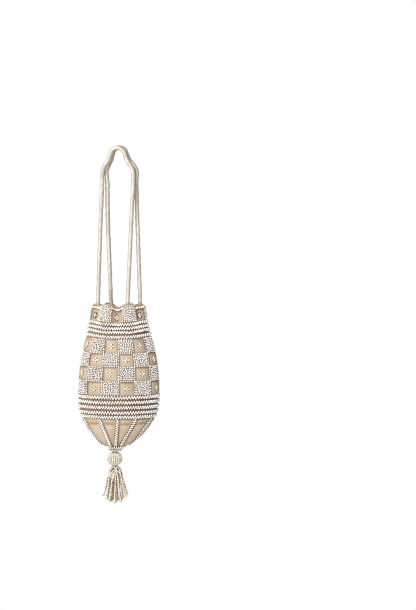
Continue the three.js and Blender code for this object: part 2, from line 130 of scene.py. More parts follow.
# Above this height the cords are out of the casing and a little fuller
CORD_OUT_Z = -222.0
FRONT_CORD_ROUTE = [
    (-8.4, -18.1, -237.4), (-13.0, -18.6, -236.5), (-17.8, -16.1, -236.8), (-20.2, -11.3, -237.8),
    (-22.2, -8.2, -237.7), (-25.8, -6.4, -237.1), (-29.2, -4.1, -235.0), (-30.0, -2.0, -230.3),
    (-30.3, -1.5, -222.0), (-29.5, -2.0, -195.0), (-28.5, -2.4, -165.0), (-27.5, -2.8, -135.0),
    (-26.3, -2.9, -105.0), (-25.0, -3.0, -75.0), (-23.8, -3.1, -48.0), (-22.9, -3.2, -30.0),
    (-20.0, -3.2, -22.8), (-15.6, -3.2, -16.0), (-12.6, -3.2, -8.5), (-8.6, -3.2, 0.0),
    (-1.5, -3.2, 2.75), (5.6, -3.2, 0.0), (9.6, -3.2, -8.5), (12.6, -3.2, -16.0),
    (17.0, -3.2, -22.8), (20.4, -3.3, -30.0), (20.8, -4.3, -48.0), (19.6, -6.4, -75.0),
    (18.2, -8.8, -105.0), (16.8, -11.2, -135.0), (15.4, -13.6, -165.0), (14.0, -16.0, -195.0),
    (12.7, -18.1, -222.0), (12.2, -18.6, -230.3), (10.8, -18.9, -234.8), (7.2, -18.2, -237.3),
    (1.6, -15.4, -239.5), (-3.3, -15.7, -239.3), (-7.9, -17.9, -237.6),
]
BACK_CORD_ROUTE = [
    (7.9, 17.9, -237.6), (3.3, 15.7, -239.3), (-1.6, 15.4, -239.5), (-6.1, 17.8, -237.8),
    (-9.0, 18.8, -235.0), (-10.6, 18.7, -230.3), (-11.9, 18.2, -222.0), (-12.9, 16.1, -195.0),
    (-14.0, 13.7, -165.0), (-15.1, 11.4, -135.0), (-16.0, 9.1, -105.0), (-16.4, 6.8, -75.0),
    (-16.5, 4.7, -48.0), (-17.2, 3.3, -30.0), (-14.6, 3.2, -22.8), (-11.2, 3.2, -16.0),
    (-9.0, 3.2, -8.5), (-5.4, 3.2, 0.0), (1.4, 3.2, 2.75), (8.2, 3.2, 0.0),
    (12.4, 3.2, -8.5), (16.0, 3.2, -16.0), (21.6, 3.2, -22.8), (25.6, 3.2, -30.0),
    (25.5, 3.2, -48.0), (26.1, 3.1, -75.0), (26.9, 2.9, -105.0), (27.9, 2.7, -135.0),
    (28.8, 2.4, -165.0), (29.7, 2.0, -195.0), (30.3, 1.5, -222.0), (30.2, 2.0, -230.3),
    (29.2, 4.1, -235.0), (25.8, 6.4, -237.1), (22.2, 8.2, -237.7), (20.2, 11.3, -237.8),
    (17.8, 16.1, -236.8), (13.0, 18.6, -236.5), (8.4, 18.1, -237.4),
]

# Tip: collar, ball, thread and tassel
# Tiers of the collar: drop, half width and half depth of its upper and lower edges
COLLAR_TIERS = [dict(count=28, width=1.75, top=(203.0, 16.8, 13.0), bottom=(209.4, 9.9, 11.0)),
                dict(count=18, width=1.9, top=(209.0, 9.6, 10.0), bottom=(212.3, 7.4, 7.7))]
BALL = dict(aside=-6.9, drop=223.4, radius=11.25, half_height=10.6, bead_inset=0.75, core_inset=1.2)
STRANDS = dict(start=234.2, start_radius=7.4, length=52.7, side_shortening=10.0,
               flare_width=17.2, flare_depth=11.4, sway=0.9, sway_phase=2.4, sway_turns=5.0)


# Shape of the bag

def unit(vectors):
    return vectors / np.linalg.norm(vectors, axis=-1, keepdims=True)


def smooth_line(knots, values, slopes, at):
    """Values on a smooth line through the given ones."""
    i = np.clip(np.searchsorted(knots, at) - 1, 0, len(knots) - 2)
    step = (knots[i + 1] - knots[i])[..., None]
    t = (at - knots[i])[..., None] / step
    return (values[i] * (1 + 2 * t) * (1 - t) ** 2 + values[i + 1] * t ** 2 * (3 - 2 * t)
            + slopes[i] * step * t * (1 - t) ** 2 - slopes[i + 1] * step * t ** 2 * (1 - t))


def section_at(drop):
    """Half width, half depth, lean, gather, wave and sag on a smooth line through the sections."""
    drops = SECTIONS[:, 0]
    at = np.clip(drop, drops[0], drops[-1])
    return np.moveaxis(smooth_line(drops, SECTIONS[:, 1:], SECTION_SLOPES, at), -1, 0)


FLATNESSES = np.linspace(0.5, 1.0, 41)
QUARTER_TURNS = np.linspace(0.0, 1.0, 361)


def quarter_table():
    """Ellipse angles at equal steps of length along a quarter of the outline, one row to a flatness."""
    angles = np.linspace(0, math.pi / 2, 1441)
    rows = []
    for flatness in FLATNESSES:
        speed = np.hypot(np.cos(angles), flatness * np.sin(angles))
        length = np.concatenate([[0], np.cumsum((speed[1:] + speed[:-1]) / 2)])
        rows.append(np.interp(QUARTER_TURNS, length / length[-1], angles))
    return np.array(rows)


QUARTERS = quarter_table()


def ellipse_angle(turn, flatness):
    quarters = turn / 90.0
    whole = np.floor(quarters)
    mirrored = whole % 2 == 1
    rest = np.where(mirrored, 1 - (quarters - whole), quarters - whole) * (len(QUARTER_TURNS) - 1)
    row = np.clip((flatness - FLATNESSES[0]) / (FLATNESSES[1] - FLATNESSES[0]), 0, len(FLATNESSES) - 1.001)
    r, c = row.astype(int), np.minimum(rest.astype(int), len(QUARTER_TURNS) - 2)
    a, b = row - r, rest - c
    upper = QUARTERS[r, c] * (1 - b) + QUARTERS[r, c + 1] * b
    lower = QUARTERS[r + 1, c] * (1 - b) + QUARTERS[r + 1, c + 1] * b
    angle = upper * (1 - a) + lower * a
    return whole * math.pi / 2 + np.where(mirrored, math.pi / 2 - angle, angle)


def gather_fold(turn):
    """1 on an outward fold of the gathers, -1 in an inward one."""
    return 1 - 2 * np.abs(np.sin(np.radians((turn - GATHER_TURN) * 3))) ** GATHER_POWER


def bag_point(turn, drop, inset=0.0):
    turn, drop = np.broadcast_arrays(np.asarray(turn, float), np.asarray(drop, float))
    width, depth, lean, gather, wave, sag = section_at(drop)
    angle = ellipse_angle(turn, depth / width)
    fold = gather_fold(turn)
    reach = gather * fold - inset
    near_rim = np.clip((BACK_SLACK_END - drop) / BACK_SLACK_END, 0, 1)
    slack = BACK_SLACK * np.clip(-np.cos(angle), 0, 1) ** 2 * near_rim ** 2
    return np.stack([
        lean + (width + reach) * np.sin(angle),
        -(depth + reach) * np.cos(angle),
        RIM_Z - drop + (wave * fold - sag) * np.cos(angle) ** 2 - slack,
    ], axis=-1)


def on_bag(turn, drop, out=0.0):
    """Points off the bag's plain face, with their directions across, down and outwards."""
    turn, drop = np.broadcast_arrays(np.asarray(turn, float), np.asarray(drop, float))
    step = 0.5
    across = unit(bag_point(turn + step, drop) - bag_point(turn - step, drop))
    down = unit(bag_point(turn, drop + step) - bag_point(turn, drop - step))
    outward = unit(np.cross(down, across))
    return bag_point(turn, drop) + outward * np.asarray(out)[..., None], across, down, outward


def length_per_turn(drop):
    """Millimetres of cloth to a degree of turn."""
    width, depth = section_at(np.asarray(drop, float))[:2]
    ratio = ((width - depth) / (width + depth)) ** 2
    return math.pi * (width + depth) * (1 + 3 * ratio / (10 + np.sqrt(4 - 3 * ratio))) / 360


def from_middle(turn, middle, pitch):
    """Signed turn to the nearest of a ring of places."""
    return (np.asarray(turn) - middle + pitch / 2) % pitch - pitch / 2


def from_front(turn):
    return from_middle(turn, 0.0, 360.0)


def bare_span(row):
    """Drops between which the bare squares of a checker row lie."""
    top = CHECKER_ROWS[row - 1][1] if row else CHECKER_ROWS[0][0]
    bottom = CHECKER_ROWS[row + 1][0] if row + 1 < len(CHECKER_ROWS) else CHECKER_ROWS[-1][1]
    return top, bottom


def pad_turn(row):
    return CHECKER_TURN + (row % 2) * PITCH / 2


def rib_lines():
    """Turns of every rib down the dome: seen from the front or the back a rib is straight."""
    drops = np.linspace(*RIB_DROPS, 60)
    share = np.linspace(0, 1, len(drops))
    width, depth, lean = section_at(drops)[:3]
    turns = np.linspace(-90, 90, 721)
    sines = np.sin(ellipse_angle(turns[None], (depth / width)[:, None]))
    lines = []
    for rib_start in RIB_STARTS:
        face = float(from_middle(rib_start, 0.0, 180.0))
        behind = abs(from_front(rib_start)) > 90
        side = -1 if behind else 1
        start = lean[0] + side * width[0] * np.interp(face, turns, sines[0])
        end = lean[-1] + side * np.sign(face) * RIB_AIMS[round(abs(face) / 36)] * width[-1]
        aside = np.clip(side * (start + (end - start) * share - lean) / width, -0.93, 0.93)
        lines.append([np.interp(a, row, turns) + 180.0 * behind for a, row in zip(aside, sines)])
    return drops, np.array(lines)


RIB_LINE_DROPS, RIB_LINES = rib_lines()


def rib_turn(rib, drop):
    return np.interp(drop, RIB_LINE_DROPS, RIB_LINES[rib])


def from_ribs(turn, drop):
    """Turn to the nearest rib."""
    return np.min([np.abs(from_middle(turn, rib_turn(i, drop), 360.0)) for i in range(RIB_COUNT)], axis=0)


MOUTH_PATTERN = np.linspace(-720.0, 1080.0, 3601)


def mouth_turn(pattern):
    """Turn of a place in the mouth's pattern, which is spread at the front and drawn together at the back."""
    return pattern - 1.4 + 10.5 * np.sin(np.radians(pattern + 1.3))


def mouth_pattern(turn):
    return np.interp(turn, mouth_turn(MOUTH_PATTERN), MOUTH_PATTERN)


def bead_cover(turn, drop):
    """Signed length from the edge of the bead work: below 0 under it, above 0 on bare silk."""
    k = length_per_turn(drop)
    nearest = np.full(np.broadcast(turn, drop).shape, 1e3)
    for ropes in (UPPER_ROPES, LOWER_ROPES):
        nearest = np.minimum(nearest, np.maximum(ropes[0] - drop, drop - ropes[-1]) - ROPE_HALF)
    nearest = np.minimum(nearest, np.abs(drop - EDGING_DROP) - EDGING_HALF)
    pads = [(mouth_pattern(turn), GATHER_TURN, MOUTH_PAD_HALF_TURN, *MOUTH_PAD)]
    pads += [(turn, pad_turn(r), PAD_HALF_TURN, *span) for r, span in enumerate(CHECKER_ROWS)]
    for place, middle, half, top, bottom in pads:
        aside = (np.abs(from_middle(place, middle, PITCH)) - half) * k
        along = np.abs(drop - (top + bottom) / 2) - (bottom - top) / 2
        nearest = np.minimum(nearest, np.maximum(aside, along))
    rib = from_ribs(turn, drop) * k - RIB_HALF
    nearest = np.minimum(nearest, np.maximum(rib, np.maximum(RIB_DROPS[0] - drop, drop - RIB_COVER_END)))
    return np.minimum(nearest, COLLAR_TIERS[0]["top"][0] - 0.6 - drop)


def bell(x, width):
    return np.exp(-(x / width) ** 2)


FLOWER_PLACES = [(turn - 3.3 * math.sin(math.radians(turn)) ** 3, sum(bare_span(r)) / 2)
                 for r in range(len(CHECKER_ROWS)) for turn in pad_turn(r + 1) + PITCH * np.arange(PAD_COUNT)]
FLOWER_PLACES += [(float(mouth_turn(MOUTH_BARE_TURN + PITCH * i)), MOUTH_FLOWER_DROP)
                  for i in range(PAD_COUNT)]


def crease_waver(turn):
    return np.sin(np.radians(3 * turn + 40)) + 0.6 * np.sin(np.radians(7 * turn + 150))


def mouth_shade(turn, drop):
    """Painted shade on the silk of the drawn mouth: shadow under the edging and on the left of each bare
    square.
    """
    aside = from_middle(mouth_pattern(turn), MOUTH_BARE_TURN, PITCH) / MOUTH_BARE_HALF_TURN
    round_front = np.clip((from_front(turn) + 60) / 60, 0, 1)
    under_edging = (0.3 + 0.62 * round_front) * np.exp(-np.maximum(drop - 4.5, 0) / 4.0)
    left_side = 0.66 * round_front * np.clip((0.2 - aside) / 0.8, 0, 1)
    return np.maximum(0.15 + 0.15 * round_front, np.maximum(under_edging, left_side))


# Pillows of the bare squares: their heights, and the top and bottom of the ones at the mouth
PILLOW, MOUTH_PILLOW, MOUTH_BARE = 2.3, 0.8, (2.4, 19.4)
GORE_HALF_TURN = 18
# Crease under the ropes: drops of its crest and dip, and of the top, middle and end of its shade
CREASE = dict(crest=165.4, dip=169.4, shade_top=158.0, shade=169.2, shade_end=169.0)


def silk_lift(turn, drop):
    """How far the silk stands off the plain face: pillows in the bare squares, full gores, soft creases."""
    lift = np.zeros(np.broadcast(turn, drop).shape)
    squares = [(turn, pad_turn(r) + PITCH / 2, BARE_HALF_TURN, *bare_span(r), PILLOW)
               for r in range(len(CHECKER_ROWS))]
    squares.append((mouth_pattern(turn), MOUTH_BARE_TURN, MOUTH_BARE_HALF_TURN, *MOUTH_BARE, MOUTH_PILLOW))
    for place, middle, half, top, bottom, height in squares:
        u = np.clip(np.abs(from_middle(place, middle, PITCH)) / half, 0, 1)
        v = np.clip(np.abs(drop - (top + bottom) / 2) / ((bottom - top) / 2), 0, 1)
        lift += height * (1 - u ** 2.6) ** 0.8 * (1 - v ** 2.6) ** 0.8
    gore = np.sin(np.clip(from_ribs(turn, drop) / GORE_HALF_TURN, 0, 1) * math.pi / 2)
    dome = np.clip((drop - DOME_DROP) / 5, 0, 1) * np.clip((DOME_END - drop) / 9, 0, 1)
    waver = crease_waver(turn)
    crease = bell(drop - CREASE["crest"], 2.2) - 1.5 * bell(drop - CREASE["dip"] - 0.8 * waver, 1.9)
    slack = 0.22 * np.sin(np.radians(5 * turn) + drop * 0.21) * np.sin(drop * 0.13 + 1.1)
    lift += dome * gore ** 0.8 * (1.7 + slack) + dome * gore * crease * (0.75 + 0.2 * waver)
    for flower_turn, flower_drop in FLOWER_PLACES:
        aside = from_middle(turn, flower_turn, 360.0) * length_per_turn(drop)
        lift -= 0.35 * bell(np.hypot(aside, drop - flower_drop), 3.6)
    soft = np.sin(np.radians(11 * turn) + drop * 0.31) * np.sin(np.radians(4 * turn) - drop * 0.17)
    return lift + 0.09 * soft


# Mesh helpers

def add_object(name, data):
    made = bpy.data.objects.new(name, data)
    bpy.context.scene.collection.objects.link(made)
    return made


def new_piece(name, mesh, material, slot, *nodes):
    """Object of a finished mesh that moves with the pouch and stands for its solids."""
    piece = add_object(name, mesh)
    mesh.materials.append(material)
    mesh.shade_smooth()
    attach(piece, "root")
    if nodes:
        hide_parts(*nodes)
    return piece


def add_grid(bm, across, along, place):
    """Grid closed round a surface: place(u, v) gives points in millimetres, u round it and v along it."""
    layer = bm.loops.layers.uv.get("UVMap") or bm.loops.layers.uv.new("UVMap")
    made = bmesh.ops.create_grid(bm, x_segments=across, y_segments=along, size=1.0)["verts"]
    flat = np.array([v.co for v in made])
    uv = (flat[:, :2] + 1) / 2
    for vert, share in zip(made, uv):
        for loop in vert.link_loops:
            loop[layer].uv = share
    for vert, point in zip(made, place(uv[:, 0], uv[:, 1]) * MM):
        vert.co = point
    bmesh.ops.remove_doubles(bm, verts=made, dist=1e-6)


def grid_shares(bm):
    """The u and v of every point of a grid, each from 0 to 1."""
    layer = bm.loops.layers.uv["UVMap"]
    bm.verts.index_update()
    shares = np.zeros((len(bm.verts), 2))
    for face in bm.faces:
        for loop in face.loops:
            shares[loop.vert.index] = loop[layer].uv
    return shares.T


def row_at(share, rows):
    """Number of the row nearest to a share of the way through them."""
    return np.rint(share * (len(rows) - 1)).astype(int)


def mesh_of(bm, name):
    mesh = bpy.data.meshes.new(name)
    bm.to_mesh(mesh)
    bm.free()
    return mesh


def set_values(mesh, name, values):
    """Values at the points of a mesh, or one value for all of them."""
    layer = mesh.attributes.new(name, "FLOAT", "POINT")
    layer.data.foreach_set("value", np.full(len(mesh.vertices), values, np.float32))


def shaped_piece(bm, name, material, slot, *nodes, **values):
    """Piece of a shape that is ready, with one value of each kind for all its points."""
    mesh = mesh_of(bm, name)
    for kind, value in values.items():
        set_values(mesh, kind, value)
    return new_piece(name, mesh, material, slot, *nodes)


def thicken(piece, thickness, offset):
    cloth = piece.modifiers.new("cloth thickness", "SOLIDIFY")
    cloth.thickness = thickness * MM
    cloth.offset = offset


def far_along(line):
    """Length from the start of a line to each of its points."""
    return np.concatenate([[0], np.cumsum(np.linalg.norm(np.diff(line, axis=0), axis=1))])


def smooth_route(points, step):
    """Points at equal steps along a smooth curve through the given ones."""
    points = np.array(points, float)
    knots = far_along(points)
    fine = np.linspace(0, knots[-1], int(knots[-1] * 8))
    line = smooth_line(knots, points, np.gradient(points, knots, axis=0), fine)
    far = far_along(line)
    wanted = np.linspace(0, far[-1], max(4, int(round(far[-1] / step)) + 1))
    return np.stack([np.interp(wanted, far, line[:, c]) for c in range(3)], axis=1)


def route_frames(line):
    """Two directions across a route that turn as little as they can."""
    ahead = unit(np.gradient(line, axis=0))
    first = np.cross(ahead[0], (0.0, 1.0, 0.0))
    if np.linalg.norm(first) < 0.2:
        first = np.cross(ahead[0], (1.0, 0.0, 0.0))
    sides = [unit(first)]
    for direction in ahead[1:]:
        side = sides[-1] - direction * np.dot(sides[-1], direction)
        sides.append(unit(side))
    sides = np.array(sides)
    return sides, np.cross(ahead, sides)


def off_route(line, angle, share):
    """Rows of a route at shares of the way along it, and the directions off it at the given angles."""
    first, second = route_frames(line)
    i = row_at(share, line)
    return i, first[i] * np.cos(angle)[:, None] + second[i] * np.sin(angle)[:, None]


def add_tube(bm, line, sides, radius):
    """Closed tube along a route. Its radius is one number, or is given by radius(angle, share)."""
    def place(u, v):
        angle = u * 2 * math.pi
        i, off = off_route(line, angle, v)
        far = radius(angle, v) if callable(radius) else np.full(len(angle), radius)
        return line[i] + off * far[:, None]

    before = set(bm.edges)
    add_grid(bm, sides, len(line) - 1, place)
    ends = [e for e in bm.edges if e not in before and e.is_boundary]
    bmesh.ops.holes_fill(bm, edges=ends, sides=0)


# Beads

def bead_shape(sides, rings, fullness, dimple):
    """Points, corners and mask of painted hole shade of a bead one long and one wide, its two holes pushed
    in.
    """
    bm = bmesh.new()
    bmesh.ops.create_uvsphere(bm, u_segments=sides, v_segments=rings, radius=0.5)
    hole = []
    for vert in bm.verts:
        radius = math.hypot(vert.co.x, vert.co.y)
        hole.append(1.0 if radius < 1e-5 else 0.0)
        if radius < 1e-5:
            vert.co.z *= 1 - dimple
        else:
            full = (1 - abs(2 * vert.co.z) ** fullness) ** (1 / fullness) / 2
            vert.co.xy *= full / radius
    bmesh.ops.recalc_face_normals(bm, faces=bm.faces)
    points = np.array([v.co for v in bm.verts])
    corners = np.array([v.index for f in bm.faces for v in f.verts])
    sizes = np.array([len(f.verts) for f in bm.faces])
    bm.free()
    return dict(points=points, corners=corners, starts=np.cumsum(sizes) - sizes, hole=np.array(hole))


# Beads of the pads: length and width, and how closely they are sewn
PAD_BEAD = (2.6, 1.72)
COMB_PITCH = 2.5
PAD_CELL = 2.3
MOUTH_PAD_CELL = 2.1
PAD_MARGIN = 0.9
# Beads round the lit side get painted shade, so the outline stays clear against the pale ground
LIT_SIDE = 1.0

OVAL = bead_shape(8, 5, 2.5, 0.22)
PEARL = bead_shape(12, 8, 2.2, 0.12)
ROUND = bead_shape(8, 6, 2.0, 0.12)


class BeadWork:
    """Beads of one piece, kept as arrays of places and joined into one mesh."""

    def __init__(self):
        self.rows = []

    def add(self, centre, along, outward, length, width, height=None):
        centre = np.atleast_2d(centre)
        count = len(centre)
        along = unit(np.broadcast_to(along, (count, 3)))
        outward = np.broadcast_to(outward, (count, 3))
        outward = unit(outward - along * np.sum(along * outward, axis=1, keepdims=True))
        height = width if height is None else height
        sizes = [np.broadcast_to(np.asarray(x, float), count) for x in (length, width, height)]
        self.rows.append((centre, along, outward, *sizes))

    def piece(self, name, shape, material, slot, *nodes, lit_side=0.0):
        """The piece of all these beads. Each has its own random tint, with painted shade added for those
        turned to the lit side.
        """
        centre, along, outward, length, width, height = (np.concatenate(x) for x in zip(*self.rows))
        count, points = len(centre), shape["points"]
        side = np.cross(outward, along)
        co = (centre[:, None] + points[None, :, :1] * (side * width[:, None])[:, None]
              + points[None, :, 1:2] * (outward * height[:, None])[:, None]
              + points[None, :, 2:] * (along * length[:, None])[:, None])
        mesh = bpy.data.meshes.new(name)
        number = np.arange(count)[:, None]
        mesh.vertices.add(count * len(points))
        mesh.vertices.foreach_set("co", (co * MM).astype(np.float32).ravel())
        mesh.loops.add(count * len(shape["corners"]))
        mesh.loops.foreach_set("vertex_index", (shape["corners"] + number * len(points)).ravel())
        mesh.polygons.add(count * len(shape["starts"]))
        mesh.polygons.foreach_set("loop_start", (shape["starts"] + number * len(shape["corners"])).ravel())
        mesh.update(calc_edges=True)
        turned = lit_side * np.clip((-outward[:, 0] - 0.55) / 0.35, 0, 1)
        tint_and_shade = 1 - (1 - rng.random(count)) * (1 - turned)
        set_values(mesh, "tint_and_shade", np.repeat(tint_and_shade, len(points)))
        set_values(mesh, "hole", np.tile(shape["hole"], count))
        return new_piece(name, mesh, material, slot, *nodes)

    def white_piece(self, name, *nodes):
        return self.piece(name, OVAL, WHITE_BEADS, "white_beads", *nodes, lit_side=LIT_SIDE)


def vary(value, spread, count):
    return value * (1 + spread * rng.standard_normal(count).clip(-2, 2))


def tilted(across, down, lean, spread):
    """Directions up the cloth that lean aside, each by its own angle."""
    tilt = np.radians(rng.normal(lean, spread, len(across)))
    return across * np.sin(tilt)[:, None] - down * np.cos(tilt)[:, None]


def part_beads(centre, heading, fixed, reach, width, rounds=45):
    """Moves the loose beads of a flat pad apart, each taken as two discs on its axis."""
    for _ in range(rounds):
        axis = np.stack([np.cos(heading), np.sin(heading)], axis=1) * reach
        discs = np.concatenate([centre + axis, centre - axis])
        owner = np.tile(np.arange(len(centre)), 2)
        apart = discs[:, None] - discs[None]
        gap = np.linalg.norm(apart, axis=2) + 1e-9
        near = (gap < width) & (owner[:, None] != owner[None])
        step = apart / gap[..., None] * (width - gap)[..., None] * 0.28
        push = np.where(near[..., None], step, 0).sum(axis=1)
        half = len(centre)
        shift = (push[:half] + push[half:]) / 2
        spin = np.cross(axis, push[:half] - push[half:]) / (2 * reach ** 2)
        loose = ~fixed
        centre[loose] += shift[loose]
        heading[loose] += np.clip(spin[loose], -0.3, 0.3)
    return centre, heading


def pad_layout(width, height, cell):
    """Centres and headings of the beads on one flat pad: a comb round the edge, loose rays inside it."""
    length, thick = PAD_BEAD
    across = max(4, int(round(width / COMB_PITCH)))
    side_room = height - 1.6 * length
    inner_width, inner_height = width - 2 * length, height - 2 * length
    down = max(4, int(round(side_room / COMB_PITCH)))
    xs = (np.arange(across) + 0.5) / across * width - width / 2
    ys = ((np.arange(down) + 0.5) / down - 0.5) * side_room
    edge_x, edge_y = width / 2 - length / 2, height / 2 - length / 2
    comb = [np.stack([xs, np.full(across, s * edge_y)], 1) for s in (-1, 1)]
    comb += [np.stack([np.full(down, s * edge_x), ys], 1) for s in (-1, 1)]
    turned = np.concatenate([np.full(2 * across, math.pi / 2), np.zeros(2 * down)])
    comb = np.concatenate(comb) + rng.normal(0, 0.16, (2 * across + 2 * down, 2))
    columns, rows = int(round(inner_width / cell)), int(round(inner_height / cell))
    gx, gy = np.meshgrid((np.arange(columns) + 0.5) / columns - 0.5, (np.arange(rows) + 0.5) / rows - 0.5)
    inside = np.stack([gx.ravel() * inner_width, gy.ravel() * inner_height], 1)
    inside += rng.uniform(-0.9, 0.9, inside.shape)
    hub = rng.uniform(-2.5, 2.5, 2)
    rays = np.arctan2(inside[:, 1] - hub[1], inside[:, 0] - hub[0])
    heading = rays + rng.normal(0, 1.0, len(inside))
    centre = np.concatenate([comb, inside])
    heading = np.concatenate([turned + rng.normal(0, 0.2, len(comb)), heading])
    fixed = np.arange(len(centre)) < len(comb)
    centre, heading = part_beads(centre, heading, fixed, 0.24 * length, thick * 1.12)
    keep = (np.abs(centre[:, 0]) < width / 2 - PAD_MARGIN) & (np.abs(centre[:, 1]) < height / 2 - PAD_MARGIN)
    return centre[keep], heading[keep], fixed[keep]


def add_pad(work, turn, half_turn, top, bottom, cell=PAD_CELL):
    middle = (top + bottom) / 2
    line = bag_point(turn + np.linspace(-half_turn, half_turn, 40), middle)
    width, height = np.linalg.norm(np.diff(line, axis=0), axis=1).sum(), bottom - top
    k = width / (2 * half_turn)
    centre, heading, comb = pad_layout(width, height, cell)
    drops = middle + centre[:, 1]
    turns = turn + centre[:, 0] / k
    edge = np.minimum(width / 2 - np.abs(centre[:, 0]), height / 2 - np.abs(centre[:, 1]))
    count = len(centre)
    out = 1.15 + 0.45 * np.clip(edge / 5, 0, 1) + rng.uniform(-0.15, 0.3, count)
    place, across, down, outward = on_bag(turns, drops, out)
    along = across * np.cos(heading)[:, None] + down * np.sin(heading)[:, None]
    along += outward * rng.normal(0, 0.18, count)[:, None]
    end_on = (rng.random(count) < 0.1) & ~comb
    along = np.where(end_on[:, None], outward + 0.3 * along, along)
    facing = np.where(end_on[:, None], across, outward)
    length = np.where(end_on, 1.5, vary(PAD_BEAD[0], 0.08, count) * np.where(comb, 1.0, 0.9))
    width_of = np.where(end_on, 2.1, np.where(comb, 0.86, 1.0) * vary(PAD_BEAD[1], 0.06, count))
    work.add(place, along, facing, length, width_of)


def add_rope(work, drop, pitch, bead):
    """Two lines of upright ovals set between each other, so that the row reads as a zigzag."""
    k = float(length_per_turn(drop))
    width = bead["width"] * pitch
    count = int(round(360 * k / pitch))
    phase = rng.random()
    for line, side in enumerate((-1, 1)):
        turns = (np.arange(count) + phase + 0.5 * line) * 360 / count
        wave = np.sin(np.radians(turns * 5 + drop * 31)) + 0.6 * np.sin(np.radians(turns * 13 + drop * 57))
        drops = drop + side * bead["apart"] / 2 + bead["waver"] * wave + rng.normal(0, 0.1, count)
        turns = turns + rng.normal(0, 0.12, count) / k
        place, across, down, outward = on_bag(turns, drops, SEWN_OFF + width / 2)
        along = tilted(across, down, bead["lean"], 7) + outward * 0.22 * side
        work.add(place, along, outward, vary(bead["length"], 0.05, count), vary(width, 0.04, count))


def add_rib(work, rib):
    """A rope down the dome: two lines of ovals sewn crosswise and set between each other."""
    bead = RIB_BEAD

    def on_rib(drop, out=0.0):
        return on_bag(rib_turn(rib, drop), drop, out)

    drops = np.linspace(RIB_DROPS[0], RIB_END, 200)
    far = far_along(on_rib(drops)[0])
    count = int(round(far[-1] / bead["pitch"]))
    for number, side in enumerate((-1, 1)):
        at = np.interp((np.arange(count) + 0.25 + 0.5 * number) / count * far[-1], far, drops)
        place, _, _, outward = on_rib(at, SEWN_OFF + bead["width"] / 2)
        ahead = unit(on_rib(at + 0.5)[0] - on_rib(at - 0.5)[0])
        aside = np.cross(outward, ahead)
        tilt = np.radians(rng.normal(bead["lean"], 6, count))
        along = aside * np.cos(tilt)[:, None] + ahead * np.sin(tilt)[:, None] - outward * 0.2 * side
        taper = np.interp(at, [RIB_DROPS[0], 190, RIB_DROPS[1]], [1.0, 1.0, 0.8])
        work.add(place + aside * (side * bead["apart"] / 2 * taper)[:, None], along, outward,
                 vary(bead["length"], 0.05, count) * taper, vary(bead["width"], 0.04, count))


# Materials

def fill(tree, made, inputs):
    """Gives a node its inputs, each a value or the output of another node."""
    for key, value in inputs.items():
        if isinstance(value, bpy.types.NodeSocket):
            tree.links.new(value, made.inputs[key])
        else:
            made.inputs[key].default_value = value
    return made


def node(tree, kind, inputs=None, **settings):
    made = tree.nodes.new(kind)
    for key, value in settings.items():
        setattr(made, key, value)
    return fill(tree, made, inputs or {})


def mixed(tree, share, first, second):
    """Colour between two others, each an output of a node or red, green and blue."""
    first, second = (c if isinstance(c, bpy.types.NodeSocket) else (*c, 1.0) for c in (first, second))
    return node(tree, "ShaderNodeMix", {0: share, 6: first, 7: second}, data_type="RGBA").outputs[2]


def sum_of(tree, operation, first, second):
    return node(tree, "ShaderNodeMath", {0: first, 1: second}, operation=operation).outputs[0]


def clamped(tree, value):
    return node(tree, "ShaderNodeClamp", {0: value}).outputs[0]


def ranged(tree, value, low, high, start=0.0, end=1.0):
    return node(tree, "ShaderNodeMapRange", {0: value, 1: low, 2: high, 3: start, 4: end}).outputs[0]


def value_of(tree, name):
    return node(tree, "ShaderNodeAttribute", attribute_name=name).outputs["Fac"]


def noise(tree, scale, detail=3.0, coordinates=None, rough=0.5):
    place = coordinates or node(tree, "ShaderNodeTexCoord").outputs["Object"]
    return node(tree, "ShaderNodeTexNoise", {"Vector": place, "Scale": scale, "Detail": detail,
                                             "Roughness": rough}).outputs["Fac"]


def stretched(tree, scale):
    uv = node(tree, "ShaderNodeTexCoord").outputs["UV"]
    return node(tree, "ShaderNodeMapping", {"Vector": uv, "Scale": scale}).outputs["Vector"]


def new_group(name, inputs, outputs):
    """Empty node group, with the outputs of its start and the node at its end."""
    tree = bpy.data.node_groups.new(name, "ShaderNodeTree")
    for way, sockets in (("INPUT", inputs), ("OUTPUT", outputs)):
        for label, kind in sockets.items():
            tree.interface.new_socket(label, in_out=way, socket_type="NodeSocket" + kind)
    return tree, tree.nodes.new("NodeGroupInput").outputs, tree.nodes.new("NodeGroupOutput")


def make_bead_group():
    """Glass of one bead: its own tone of the glass with painted shade on the lit side, a soft mottle, and
    painted shade in its thread hole.
    """
    tree, given, result = new_group("Bead glass", {"Pale": "Color", "Deep": "Color", "Hole shade": "Color"},
                                    {"Color": "Color", "Roughness": "Float"})
    mottle = noise(tree, 900.0, 2.0)
    uneven = sum_of(tree, "MULTIPLY", sum_of(tree, "SUBTRACT", mottle, 0.5), 0.5)
    share = clamped(tree, sum_of(tree, "ADD", sum_of(tree, "POWER", value_of(tree, "tint_and_shade"), 1.6), uneven))
    glass = mixed(tree, share, given["Pale"], given["Deep"])
    holed = mixed(tree, ranged(tree, value_of(tree, "hole"), 0.15, 0.7), glass, given["Hole shade"])
    fill(tree, result, {"Color": holed, "Roughness": ranged(tree, mottle, 0.3, 0.7, 0.2, 0.34)})
    return tree


